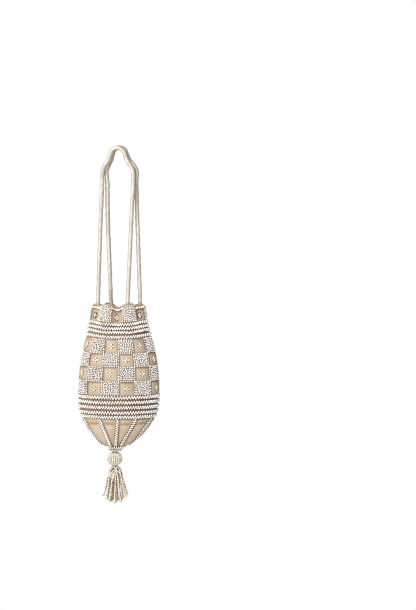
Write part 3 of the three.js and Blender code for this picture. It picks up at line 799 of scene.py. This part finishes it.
def make_weave_group():
    """Fine crossed threads of woven silk on the piece's UV map, with a few thicker slubs."""
    tree, given, result = new_group("Silk weave", {"Place": "Vector", "Threads": "Float"},
                                    {"Height": "Float", "Slub": "Float"})
    wave = {"Vector": given["Place"], "Scale": given["Threads"], "Distortion": 0.8, "Detail": 1.0}
    warp, weft = (node(tree, "ShaderNodeTexWave", wave, bands_direction=way).outputs["Fac"] for way in "XY")
    long_way = node(tree, "ShaderNodeMapping", {"Vector": given["Place"], "Scale": (18.0, 420.0, 1.0)})
    slub = noise(tree, 1.0, 3.0, long_way.outputs["Vector"])
    height = sum_of(tree, "ADD", sum_of(tree, "MULTIPLY", warp, weft), sum_of(tree, "MULTIPLY", slub, 0.8))
    fill(tree, result, {"Height": height, "Slub": slub})
    return tree


BEAD_GLASS = make_bead_group()
SILK_WEAVE = make_weave_group()


def new_material(name, **constants):
    material = bpy.data.materials.new(name)
    material.use_nodes = True
    tree = material.node_tree
    shader = tree.nodes["Principled BSDF"]
    for key, value in constants.items():
        shader.inputs[key.replace("_", " ").title()].default_value = value
    return material, tree, shader


def turned_away(tree, start, most, end=0.95):
    """How far the surface turns away from the eye, from a start up to a most."""
    facing = node(tree, "ShaderNodeLayerWeight", {"Blend": 0.5}).outputs["Facing"]
    return ranged(tree, facing, start, end, 0.0, most)


def bead_material(name, pale, deep, hole):
    material, tree, shader = new_material(name, coat_weight=0.25, coat_roughness=0.15)
    glass = node(tree, "ShaderNodeGroup", node_tree=BEAD_GLASS)
    fill(tree, glass, {"Pale": (*pale, 1), "Deep": (*deep, 1), "Hole shade": (*hole, 1)})
    # Painted shade: the bead darkens towards its rim, where it turns away from the eye
    edge = [0.38 * c for c in deep]
    colour = mixed(tree, turned_away(tree, 0.42, 0.8), glass.outputs["Color"], edge)
    fill(tree, shader, {"Base Color": colour, "Roughness": glass.outputs["Roughness"]})
    return material


def weave_of(tree, threads):
    """Height and slubs of the weave over the whole UV map."""
    uv = node(tree, "ShaderNodeTexCoord").outputs["UV"]
    made = node(tree, "ShaderNodeGroup", node_tree=SILK_WEAVE)
    return fill(tree, made, {"Place": uv, "Threads": threads}).outputs


def bumped(tree, strength, distance, height):
    inputs = {"Strength": strength, "Distance": distance, "Height": height}
    return node(tree, "ShaderNodeBump", inputs).outputs["Normal"]


def bag_silk():
    material, tree, shader = new_material("bag_silk", sheen_weight=0.25, sheen_roughness=0.4)
    weave = weave_of(tree, 150.0)
    broad = noise(tree, 38.0, 4.0, rough=0.6)
    tan = mixed(tree, ranged(tree, broad, 0.32, 0.7), (0.425, 0.328, 0.222), (0.55, 0.444, 0.328))
    tan = mixed(tree, ranged(tree, weave["Slub"], 0.35, 0.75, 0.0, 0.35), tan, (0.62, 0.52, 0.40))
    # Painted shade: the first dark mix stands for shadow along the bead work, in the mouth, the crease and
    # the hem, the second for shade in the gaps between beads
    edge_shaded_silk = mixed(tree, value_of(tree, "edge_shade"), tan, (0.20, 0.115, 0.055))
    ground = mixed(tree, value_of(tree, "bead_ground"), edge_shaded_silk, (0.125, 0.064, 0.026))
    fill(tree, shader, {"Base Color": ground, "Roughness": ranged(tree, broad, 0.3, 0.7, 0.42, 0.56),
                        "Normal": bumped(tree, 0.25, 0.00012, weave["Height"])})
    return material


def cord_silk(name, pale, deep, threads):
    material, tree, shader = new_material(name, sheen_weight=0.2, sheen_roughness=0.35)
    creases = noise(tree, 1.0, 4.0, stretched(tree, (7.0, 34.0, 1.0)), 0.6)
    pull = noise(tree, 1.0, 3.0, stretched(tree, (16.0, 6.0, 1.0)), 0.55)
    # Painted shade: the colour darkens along the creases and pulls of the cloth, where the fold value is
    # high, and towards the rim
    creased = ranged(tree, creases, 0.42, 0.7, 0.0, 0.6)
    shade = sum_of(tree, "ADD", creased, ranged(tree, pull, 0.45, 0.72, 0.0, 0.5))
    shade = sum_of(tree, "MAXIMUM", shade, value_of(tree, "fold"))
    shade = sum_of(tree, "MAXIMUM", shade, turned_away(tree, 0.2, 0.9, 0.62))
    height = sum_of(tree, "ADD", sum_of(tree, "MULTIPLY", creases, 2.0), sum_of(tree, "MULTIPLY", pull, 1.5))
    woven = sum_of(tree, "MULTIPLY", weave_of(tree, threads)["Height"], 0.12)
    height = sum_of(tree, "ADD", height, woven)
    fill(tree, shader, {"Base Color": mixed(tree, clamped(tree, shade), pale, deep),
                        "Roughness": ranged(tree, creases, 0.3, 0.7, 0.36, 0.52),
                        "Normal": bumped(tree, 0.5, 0.0006, height)})
    return material


def sequin_gloss():
    material, tree, shader = new_material("brown_sequin", coat_weight=0.1, coat_roughness=0.2)
    glint = noise(tree, 700.0, 2.0)
    colour = mixed(tree, ranged(tree, glint, 0.35, 0.7), (0.09, 0.045, 0.02), (0.17, 0.09, 0.042))
    fill(tree, shader, {"Base Color": colour, "Roughness": ranged(tree, glint, 0.3, 0.7, 0.3, 0.45)})
    return material


WHITE_BEADS = bead_material("white_beads", (0.97, 0.96, 0.945), (0.77, 0.735, 0.685), (0.06, 0.035, 0.02))
CREAM_BEADS = bead_material("cream_beads", (0.90, 0.865, 0.80), (0.66, 0.555, 0.42), (0.16, 0.09, 0.045))
BALL_BEADS = bead_material("ball_beads", (0.89, 0.86, 0.80), (0.60, 0.49, 0.36), (0.24, 0.16, 0.095))
TAN_BEADS = bead_material("tan_beads", (0.58, 0.44, 0.28), (0.36, 0.235, 0.125), (0.08, 0.045, 0.02))
TASSEL_ENDS = bead_material("tassel_end_beads", (0.60, 0.54, 0.46), (0.43, 0.365, 0.285), (0.16, 0.09, 0.045))
COLLAR_BEADS = bead_material("collar_beads", (0.86, 0.845, 0.82), (0.60, 0.55, 0.48), (0.06, 0.035, 0.02))
BAG_SILK = bag_silk()
CORD_SILK = cord_silk("cord_silk", (0.66, 0.636, 0.596), (0.37, 0.295, 0.21), 60.0)
THREAD = cord_silk("tassel_thread", (0.79, 0.745, 0.67), (0.19, 0.11, 0.052), 40.0)
SEQUIN = sequin_gloss()


# Camera, in metres

PICTURE_CENTRE = Vector((129.0, 0.0, -225.7)) * MM
CAMERA_DISTANCE = 5.0
CAMERA_HEIGHT = 0.275
PICTURE_HEIGHT = 610 * 1.45 * MM


def make_camera():
    camera = add_object("camera", bpy.data.cameras.new("camera"))
    rise = CAMERA_HEIGHT - PICTURE_CENTRE.z
    reach = math.sqrt(CAMERA_DISTANCE ** 2 - rise ** 2)
    camera.location = PICTURE_CENTRE + Vector((0.0, -reach, rise))
    camera.rotation_euler = (PICTURE_CENTRE - camera.location).to_track_quat("-Z", "Y").to_euler()
    camera.data.sensor_width = 36.0
    camera.data.lens = 36.0 * CAMERA_DISTANCE / PICTURE_HEIGHT
    camera.data.clip_end = 50.0
    bpy.context.scene.camera = camera


make_camera()


# Handle cords of rolled silk

def make_cord(name, route, phase):
    line = smooth_route(route, 1.6)

    def fold_and_shade_at(angle, share):
        """Depth of the rolled edge on the right of each strand, and the painted shade of the roll beyond it,
        on the side away from the light.
        """
        _, off = off_route(line, angle, share)
        seam = 0.5 + 0.26 * np.sin(share * 34 + phase) + 0.12 * np.sin(share * 91 + 2 * phase)
        beyond = np.arctan2(off[:, 0], -off[:, 1]) - seam
        shaded = np.clip(beyond / 0.3, 0, 1) * np.clip((2.2 - beyond) / 0.6, 0, 1)
        return bell(beyond, 0.24), shaded

    def radius(angle, share):
        deep, _ = fold_and_shade_at(angle, share)
        roll = 0.14 * np.cos(2 * angle + 9 * share + phase) + 0.07 * np.sin(share * 260 + 3 * angle)
        above_mouth = line[row_at(share, line), 2] - CORD_OUT_Z
        full = 0.28 * np.clip(above_mouth / 8, 0, 1)
        slant = share * 210 + 1.6 * np.sin(share * 61 + phase) + 1.3 * np.sin(angle + phase)
        wrinkle = (0.34 * np.sin(slant) ** 3 * np.clip(0.35 + np.sin(share * 97 + 2 * phase), 0, 1)
                   * np.clip(full / 0.2, 0, 1))
        return CORD_DIAMETER / 2 + full + roll + wrinkle - 0.6 * deep

    bm = bmesh.new()
    add_tube(bm, line, CORD_SIDES, radius)
    u, v = grid_shares(bm)
    mesh = mesh_of(bm, name)
    deep, shaded = fold_and_shade_at(u * 2 * math.pi, v)
    # The fold value is painted shade, in the groove of the rolled edge and over the strand's shaded side
    set_values(mesh, "fold", np.clip(0.7 * deep + 0.9 * shaded, 0, 1))
    piece = new_piece(name + "_silk", mesh, CORD_SILK, "cord_silk", name)
    return line


CORD_LINES = [make_cord("front_handle_cord", FRONT_CORD_ROUTE, 0.4),
              make_cord("back_handle_cord", BACK_CORD_ROUTE, 2.0)]


# Silk bag: turned hem, wall and tip, one cloth

SILK_COLUMNS = 252
# Rows of the cloth: drop, and how far inside the plain face
HEM = [(4.2, 2.3), (1.6, 2.3), (-1.0, 2.2), (-2.3, 1.85), (-3.0, 1.1), (-2.7, 0.4), (-2.1, 0.05)]
WALL = [(drop, 0.0) for drop in np.linspace(-1.4, WALL_END, 134)]
TIP = [(211.0, 1.6), (211.1, 3.2), (211.2, 4.5)]
# Strength of the painted shade in the gaps under mouth pads, checker pads, upper ropes, lower ropes and ribs
GAP_SHADE_DEPTHS = [0.16, 0.34, 0.58, 0.75, 0.84]


def make_bag():
    stations = np.array((HEM + WALL + TIP)[::-1])

    def place(u, v):
        turn, (drop, inset) = u * 360.0, stations[row_at(v, stations)].T
        lift = np.where(inset > 0, 0.0, silk_lift(turn, drop))
        point = bag_point(turn, drop, inset) + on_bag(turn, drop)[3] * lift[:, None]
        point[:, 2] -= np.maximum(drop - WALL_END, 0)
        return point

    bm = bmesh.new()
    add_grid(bm, SILK_COLUMNS, len(stations) - 1, place)
    u, v = grid_shares(bm)
    mesh = mesh_of(bm, "silk_bag")
    turn, (drop, inset) = u * 360, stations[row_at(v, stations)].T
    hem = inset > 0.3
    cover = bead_cover(turn, drop)
    padded = ((drop > CHECKER_ROWS[0][0]) & (drop < CHECKER_ROWS[-1][1])) | (drop < MOUTH_PAD[1] - 1.2)
    at_mouth = drop < 30
    # Painted shade in the gaps between the beads, with a strength for each kind of bead work
    shade_zones = [padded & at_mouth, padded, drop < 50, drop < DOME_DROP]
    depth = np.select(shade_zones, GAP_SHADE_DEPTHS[:-1], GAP_SHADE_DEPTHS[-1])
    # Painted light: on the lit side the painted shade in the gaps and along the edges is paler
    lit = np.clip((-15 - from_front(turn)) / 55, 0, 1) * (np.abs(from_front(turn)) < 120) * ~padded
    depth = depth * (1 - 0.45 * lit)
    set_values(mesh, "bead_ground", np.where(hem, 0, np.clip((0.2 - cover) / 0.9, 0, 1) * depth))
    # Painted shadow along the edges of the bead work, set up and to the left so that it falls on the upper
    # and left edges of the bare squares
    shadow = bead_cover(turn - 0.9 / length_per_turn(drop), drop - 1.4)
    edge = (0.85 - 0.4 * lit) * np.exp(-np.maximum(shadow, 0) / 1.6)
    # Painted shade in the drawn mouth, and a slight darkening of the silk down to the lower ropes
    plain = np.select([drop < MOUTH_PAD[1] + 1, drop < LOWER_ROPES[0]], [mouth_shade(turn, drop), 0.16], 0.0)
    edge = np.maximum(edge, plain)
    edge = np.where(padded & (cover < -0.8), np.minimum(edge, np.where(at_mouth, 0.3, 0.7)), edge)
    # Painted shade in the crease under the lower ropes, on the bare silk of the gores
    crease = 0.62 * bell(drop - CREASE["shade"] - 0.8 * crease_waver(turn), 1.7)
    crease = crease + 0.26 * np.clip((CREASE["shade_end"] - drop) / 2, 0, 1)
    crease = np.where(drop > CREASE["shade_top"], crease * np.clip(cover / 2, 0, 1), 0)
    # Edge shade, with a light painted shade over the turned hem
    set_values(mesh, "edge_shade", np.where(hem, 0.15, np.maximum(edge, crease)))
    piece = new_piece("silk_bag", mesh, BAG_SILK, "silk", "pouch_body")
    thicken(piece, SILK_THICKNESS, -1.0)


make_bag()


# Drawstring casing: a channel of silk inside the mouth, open where the cords come out

CASING_OUTLINE = [(2.6, 5.4), (5.0, 5.2), (8.0, 5.2), (10.2, 5.6), (10.9, 6.6), (10.95, 9.7),
                  (10.9, 12.8), (10.2, 13.8), (8.0, 14.1), (5.0, 14.1), (2.6, 13.9)]
CASING_COLUMNS, CASING_ROWS = 216, 30
# The casing is cut open this near to the middle of a cord, and stands at least this far from it elsewhere
CORD_CUT, CORD_ROOM = 1.9, 3.5


def make_casing():
    outline = np.array(CASING_OUTLINE[::-1])

    def place(u, v):
        at = v * (len(outline) - 1)
        inset, drop = (np.interp(at, np.arange(len(outline)), side) for side in outline.T)
        pucker = 0.25 * np.sin(np.radians(u * 360 * 30)) * bell(drop - 9.7, 3.5)
        return bag_point(u * 360, drop, inset + pucker)

    bm = bmesh.new()
    add_grid(bm, CASING_COLUMNS, CASING_ROWS, place)
    points = np.concatenate([smooth_route(line, 0.3) for line in CORD_LINES]) * MM
    tree = KDTree(len(points))
    for number, point in enumerate(points):
        tree.insert(point, number)
    tree.balance()
    crossed = [v for v in bm.verts if tree.find(v.co)[2] < CORD_CUT * MM]
    bmesh.ops.delete(bm, geom=crossed, context="VERTS")
    for vert in bm.verts:
        near, _, reach = tree.find(vert.co)
        if reach < CORD_ROOM * MM:
            vert.co = near + (vert.co - near) * (CORD_ROOM * MM / reach)
    # The casing's silk takes a light painted shade
    piece = shaped_piece(bm, "casing_silk", BAG_SILK, "silk", "drawstring_casing",
                         bead_ground=0.0, edge_shade=0.2)
    thicken(piece, CASING_THICKNESS, 0.0)


make_casing()


# Bead pads, edging, ropes and ribs

def make_mouth_band():
    work = BeadWork()
    turns = []
    for i in range(PAD_COUNT):
        left, right = mouth_turn(GATHER_TURN + PITCH * i + MOUTH_PAD_HALF_TURN * np.array([-1, 1]))
        add_pad(work, (left + right) / 2, (right - left) / 2, *MOUTH_PAD, cell=MOUTH_PAD_CELL)
        gap = mouth_turn(GATHER_TURN + PITCH * (i + 1) - MOUTH_PAD_HALF_TURN) - right
        beads = int(round(gap * float(length_per_turn(0.0)) / EDGING_BEAD["pitch"]))
        turns.append(right + gap * np.linspace(0.02, 0.98, beads))
    turns = np.concatenate(turns)
    count, bead = len(turns), EDGING_BEAD
    drops = EDGING_DROP + rng.normal(bead["lower"], 0.1, count)
    place, across, down, outward = on_bag(turns, drops, bead["out"])
    along = tilted(across, down, bead["lean"], 5) - outward * 0.35
    work.add(place, along, outward, vary(bead["length"], 0.05, count), vary(bead["width"], 0.04, count),
             bead["height"])
    work.white_piece("mouth_band_beads", "mouth_bead_band")


def make_checker():
    for row, (top, bottom) in enumerate(CHECKER_ROWS):
        work = BeadWork()
        for i in range(PAD_COUNT):
            add_pad(work, pad_turn(row) + PITCH * i, PAD_HALF_TURN, top, bottom)
        work.white_piece(f"checker_row_{row + 1}_beads", "checker_bead_field")


def make_ropes():
    upper, lower, ribs = BeadWork(), BeadWork(), BeadWork()
    for drop, pitch in zip(UPPER_ROPES, UPPER_PITCHES):
        add_rope(upper, drop, pitch, UPPER_BEAD)
    for drop, pitch in zip(LOWER_ROPES, LOWER_PITCHES):
        add_rope(lower, drop, pitch, LOWER_BEAD)
    for i in range(RIB_COUNT):
        add_rib(ribs, i)
    for work, name, node_name, count in ((upper, "upper_rope_beads", "upper_bead_row", len(UPPER_ROPES)),
                                         (lower, "lower_rope_beads", "lower_bead_row", len(LOWER_ROPES)),
                                         (ribs, "rib_beads", "bead_rib", RIB_COUNT)):
        work.white_piece(name, *[f"{node_name}_{i + 1}" for i in range(count)])


make_mouth_band()
make_checker()
make_ropes()


# Four-petal flowers on sequins, one to each bare square

def make_flowers():
    petals = BeadWork()
    sequins = bmesh.new()
    for turn, drop in FLOWER_PLACES:
        flower = MOUTH_FLOWER if drop == MOUTH_FLOWER_DROP else SQUARE_FLOWER
        at = np.array([turn]), np.array([drop])
        place, across, down, outward = (x[0] for x in on_bag(*at, silk_lift(*at)))
        for arm in range(4):
            angle = math.pi / 2 * arm + math.radians(rng.normal(0, 4))
            away = across * math.cos(angle) + down * math.sin(angle)
            small = 1.0 if arm % 2 else flower["aside"]
            centre = place + away * PETAL["away"] * small + outward * PETAL["out"]
            petals.add(centre, away, outward, PETAL["length"] * small, flower["petal"], PETAL["height"])
        radius = flower["sequin"] * MM
        disc = bmesh.ops.create_circle(sequins, cap_ends=True, segments=16, radius=radius)["verts"]
        bmesh.ops.scale(sequins, verts=disc, vec=(1.0, flower["stretch"], 1.0))
        face = list({f for v in disc for f in v.link_faces})
        made = bmesh.ops.extrude_face_region(sequins, geom=face)["geom"]
        raised = [g for g in made if isinstance(g, bmesh.types.BMVert)]
        bmesh.ops.translate(sequins, verts=raised, vec=(0, 0, SEQUIN_THICKNESS * MM))
        turned = Matrix((across, -down, outward)).transposed().to_4x4()
        turned.translation = Vector((place + outward * 0.1) * MM)
        bmesh.ops.transform(sequins, matrix=turned, verts=list(set(disc) | set(raised)))
    bmesh.ops.recalc_face_normals(sequins, faces=sequins.faces)
    petals.piece("flower_pearls", PEARL, WHITE_BEADS, "white_beads")
    shaped_piece(sequins, "flower_sequins", SEQUIN, "brown_sequin").data.shade_flat()


make_flowers()


# Tip: collar of bugle beads, ball of seed beads, thread and tassel of strands

def about_tip(angle, radius, drop, depth=None, middle=TIP_X):
    depth = radius if depth is None else depth
    point = middle + radius * np.sin(angle), -depth * np.cos(angle), RIM_Z - drop
    return np.stack(np.broadcast_arrays(*point), axis=-1)


def make_collar():
    work = BeadWork()
    for tier in COLLAR_TIERS:
        count = tier["count"]
        angle = (np.arange(count) + 0.5) * 2 * math.pi / count
        (high, width, depth), (low, low_width, low_depth) = tier["top"], tier["bottom"]
        lean = section_at(np.array([high, low]))[2]
        top = about_tip(angle, width, high + rng.normal(0, 0.2, count), depth, lean[0])
        bottom = about_tip(angle, low_width, low, low_depth, lean[1])
        outward = about_tip(angle, 1.0, 0.0) - about_tip(angle, 0.0, 0.0)
        length = np.linalg.norm(top - bottom, axis=1)
        work.add((top + bottom) / 2, top - bottom, outward, length, tier["width"])
    work.piece("collar_beads", OVAL, COLLAR_BEADS, "white_beads", "bottom_collar")


def add_ellipsoid(bm, sides, rings, sizes, centre):
    """Ball stretched to three half sizes about a centre."""
    made = bmesh.ops.create_uvsphere(bm, u_segments=sides, v_segments=rings, radius=1.0)["verts"]
    bmesh.ops.scale(bm, verts=made, vec=Vector(sizes) * MM)
    bmesh.ops.translate(bm, verts=made, vec=Vector(centre) * MM)


# Beads of the ball: lines of them from pole to pole, and their step along a line, length, width and height
BALL_LINES = 22
BALL_BEAD = dict(step=1.9, length=2.0, widths=(1.0, 2.7), height=1.6)


def make_ball():
    work, bead = BeadWork(), BALL_BEAD
    aside, middle = BALL["aside"], BALL["drop"]
    radius, half = (BALL[size] - BALL["bead_inset"] for size in ("radius", "half_height"))
    latitudes = np.arange(-78, 78.1, math.degrees(bead["step"] / radius))
    for m in range(BALL_LINES):
        limit = 62 if m % 2 else 78
        lat = np.radians(latitudes[np.abs(latitudes) <= limit] + (m % 3 - 1) * 3.0)
        angle = np.full(len(lat), m * 2 * math.pi / BALL_LINES)
        place = about_tip(angle, radius * np.cos(lat), middle - half * np.sin(lat), middle=aside)
        ahead = about_tip(angle, -radius * np.sin(lat), -half * np.cos(lat)) - about_tip(angle, 0.0, 0.0)
        outward = place - about_tip(angle, 0.0, middle, middle=aside)
        width = np.clip(0.93 * 2 * math.pi * radius * np.cos(lat) / BALL_LINES, *bead["widths"])
        work.add(place, ahead, outward, vary(bead["length"], 0.04, len(lat)), vary(width, 0.04, len(lat)),
                 bead["height"])
    work.piece("ball_beads", OVAL, BALL_BEADS, "cream_beads", "bead_ball")
    core = bmesh.new()
    wide, high = (BALL[size] - BALL["core_inset"] for size in ("radius", "half_height"))
    add_ellipsoid(core, 32, 20, (wide, wide, high), (aside, 0, RIM_Z - middle))
    # The core's silk takes painted shade, which shows in the gaps between the ball's beads
    shaped_piece(core, "ball_core", BAG_SILK, "silk", bead_ground=0.5, edge_shade=0.3)


def strand_route(angle, flare, number):
    """Points of one strand of the tassel from its head to its free end."""
    s = STRANDS
    side, front = math.sin(angle), -math.cos(angle)
    length = (s["length"] - s["side_shortening"] * (side * flare) ** 2 + 1.3 * math.sin(number * 2.7)
              - 1.2 * (1 - flare))
    share = np.linspace(0, 1, 24)
    head = np.sin(np.clip(share / 0.14, 0, 1) * math.pi / 2) * 0.7 + 0.3
    if number % 2:
        head = head * (0.6 + 0.4 * np.clip(share / 0.4, 0, 1))
    sway = s["sway"] * np.sin(number * s["sway_phase"] + share * s["sway_turns"]) * share
    start = s["start_radius"] * (0.4 + 0.6 * flare)
    return np.stack([
        TIP_X + side * (start + (s["flare_width"] * flare - start) * share) * head + sway,
        front * (start + (s["flare_depth"] * flare - start) * share) * head,
        RIM_Z - s["start"] - length * share,
    ], axis=1)


# Strands laid over the tassel's head, front view: steps aside of the tip, towards the front, and drop
HEAD_STRANDS = [
    [(-1.6, 3.4, 232.9), (0.6, 5.4, 236.6), (3.8, 6.3, 240.4), (7.4, 6.0, 244.2), (8.8, 6.0, 249.5)],
    [(3.0, 2.8, 233.6), (0.8, 6.0, 237.6), (-3.0, 6.6, 239.8), (-5.4, 6.2, 243.6), (-6.2, 6.4, 251.0)],
    [(1.4, 5.2, 236.8), (-0.4, 6.8, 241.0), (-1.9, 7.0, 246.6), (-3.2, 7.2, 254.0)],
    [(2.0, 5.6, 237.6), (2.4, 7.0, 242.4), (3.6, 7.2, 247.4), (4.1, 7.4, 254.0)],
]
HEAD_LOWERED = 0.8
# Dark core inside the tassel's head; its brown is painted shade
HEAD_SHADED_CORE = dict(sizes=(4.2, 4.2, 3.0), drop=237.2)
# Rings of strands: how many, how far they flare, and the turn of the first in radians
TASSEL_RINGS = [(14, 1.0, 0.0), (8, 0.74, 0.2), (7, 0.45, 0.1)]
STRAND_STEP = 0.25
# Shares of a strand between which its beads lie
BEADS_FROM, BEADS_TO = 0.08, 0.955
BARE_RADIUS, BEADED_RADIUS, HEAD_RADIUS = 0.95, 0.4, 1.08
# Length and width of a small bead among the others and of the bead at the end of a strand
SMALL_BEAD, END_BEAD = (1.1, 1.55), (3.3, 3.0)


def make_tassel():
    outer, inner, ends = BeadWork(), BeadWork(), BeadWork()
    smooth, shaded = bmesh.new(), bmesh.new()
    places = [(2 * math.pi * i / count + turned, flare) for count, flare, turned in TASSEL_RINGS
              for i in range(count)]
    for number, (angle, flare) in enumerate(places):
        line = smooth_route(strand_route(angle, flare, number), STRAND_STEP)
        outermost = flare > 0.9
        work = outer if outermost else inner
        far = np.linspace(0, 1, len(line))
        length = (len(line) - 1) * STRAND_STEP
        start = BEADS_FROM + 0.24 * max(0.0, abs(math.cos(angle)) - 0.3) + rng.uniform(-0.05, 0.05)
        # Bare heads of odd outer strands and of inner strands go with the dark threads, whose brown is
        # painted shade between the strands
        thread = smooth if outermost and number % 2 == 0 else shaded
        add_tube(thread, line[far <= start + 0.03][::6], 8, BARE_RADIUS)
        add_tube(shaded, line[far >= start][::8], 5, BEADED_RADIUS)
        ahead = unit(np.gradient(line, axis=0))
        out = (line - (TIP_X, 0, 0)) * (1, 1, 0)
        at = start
        while at < BEADS_TO:
            size = rng.uniform(2.1, 2.6)
            i = int(round((at + size / 2 / length) * (len(line) - 1)))
            if i >= len(line):
                break
            if rng.random() < 0.06:
                work.add(line[i], ahead[i], out[i], *SMALL_BEAD)
                at += 1.0 / length
            else:
                work.add(line[i], ahead[i], out[i], size, rng.uniform(2.4, 2.75))
                at += size / length
        ends.add(line[-1] + (0, 0, 1.0), ahead[-1], out[-1], *END_BEAD)
    for back in (1, -1):
        for points in HEAD_STRANDS:
            line = [(TIP_X + x * back, -y * back, RIM_Z - drop - HEAD_LOWERED) for x, y, drop in points]
            add_tube(smooth, smooth_route(line, 1.0), 8, HEAD_RADIUS)
    add_ellipsoid(shaded, 14, 10, HEAD_SHADED_CORE["sizes"], (TIP_X, 0, RIM_Z - HEAD_SHADED_CORE["drop"]))
    shaped_piece(smooth, "tassel_strands", THREAD, "cord_silk", "tassel", fold=0.0)
    shaped_piece(shaded, "tassel_shaded_threads", THREAD, "cord_silk", "tassel", fold=1.0)
    outer.piece("tassel_beads", ROUND, CREAM_BEADS, "cream_beads", "tassel")
    # The inner beads' darker tan is partly their own colour and partly painted shade inside the tassel
    inner.piece("tassel_inner_beads", ROUND, TAN_BEADS, "cream_beads", "tassel")
    ends.piece("tassel_end_beads", PEARL, TASSEL_ENDS, "cream_beads", "tassel")


# Thread through the ball, with a knot at each end: radius and drop
THREAD_PROFILE = [(0.3, 199.8), (1.6, 200.4), (2.2, 202.0), (1.7, 203.4), (1.0, 204.4), (1.0, 220.0),
                  (1.0, 239.0), (1.7, 239.8), (2.2, 241.4), (1.6, 243.0), (0.3, 243.6)]


def make_thread():
    radius, drops = np.array(THREAD_PROFILE).T
    line = np.array([(TIP_X, 0.0, RIM_Z - drop) for drop in np.linspace(drops[-1], drops[0], 90)])
    radii = np.interp(-line[:, 2] + RIM_Z, drops, radius)
    bm = bmesh.new()
    add_tube(bm, line, 12, lambda angle, share: radii[row_at(share, radii)]
             * (1 + 0.1 * np.cos(3 * angle + share * 70)))
    # The thread is darkened a little, towards the deep colour of its material
    shaped_piece(bm, "tip_thread", THREAD, "cord_silk", "hanging_thread", fold=0.3)


make_collar()
make_ball()
make_tassel()
make_thread()


# Floor, light and background, in metres

FLOOR_RADIUS, FLOOR_Z = 1.2, -1.0
LIT_POINT = Vector((0, 0, -0.33))


def make_floor():
    bm = bmesh.new()
    bmesh.ops.create_circle(bm, cap_ends=True, segments=128, radius=FLOOR_RADIUS)
    bmesh.ops.translate(bm, verts=bm.verts, vec=(0, 0, FLOOR_Z))
    floor = add_object("floor", mesh_of(bm, "floor"))
    material, tree, shader = new_material("floor", roughness=0.8)
    pale = mixed(tree, noise(tree, 6.0), (0.84, 0.835, 0.83), (0.88, 0.875, 0.87))
    fill(tree, shader, {"Base Color": pale})
    floor.data.materials.append(material)


def make_light(name, place, size, watts, colour):
    lamp = bpy.data.lights.new(name, "AREA")
    lamp.shape = "SQUARE"
    lamp.size = size
    lamp.energy = watts
    lamp.color = colour
    light = add_object(name, lamp)
    light.location = place
    light.rotation_euler = (LIT_POINT - light.location).to_track_quat("-Z", "Y").to_euler()


def make_world():
    world = bpy.data.worlds.new("studio")
    bpy.context.scene.world = world
    world.use_nodes = True
    tree = world.node_tree
    seen = node(tree, "ShaderNodeLightPath").outputs["Is Camera Ray"]
    colour = mixed(tree, seen, (0.36, 0.36, 0.36), (1.0, 1.0, 1.0))
    fill(tree, tree.nodes["Background"], {"Color": colour})


make_floor()
make_light("key", (-1.2, -2.35, 1.4), 0.5, 93.0, (1.0, 0.99, 0.97))
make_light("fill", (2.3, -1.0, 0.0), 1.6, 8.5, (1.0, 0.95, 0.88))
make_light("low", (-0.4, -2.2, -1.0), 1.2, 21.0, (1.0, 0.99, 0.98))
make_light("back", (-0.6, 2.2, 0.8), 1.6, 14.0, (1.0, 0.99, 0.98))
make_world()
bpy.context.scene.view_settings.view_transform = "Standard"
# Keeps single beads crisp in the picture
bpy.context.scene.cycles.denoising_prefilter = "NONE"
bpy.context.scene.cycles.filter_width = 1.25
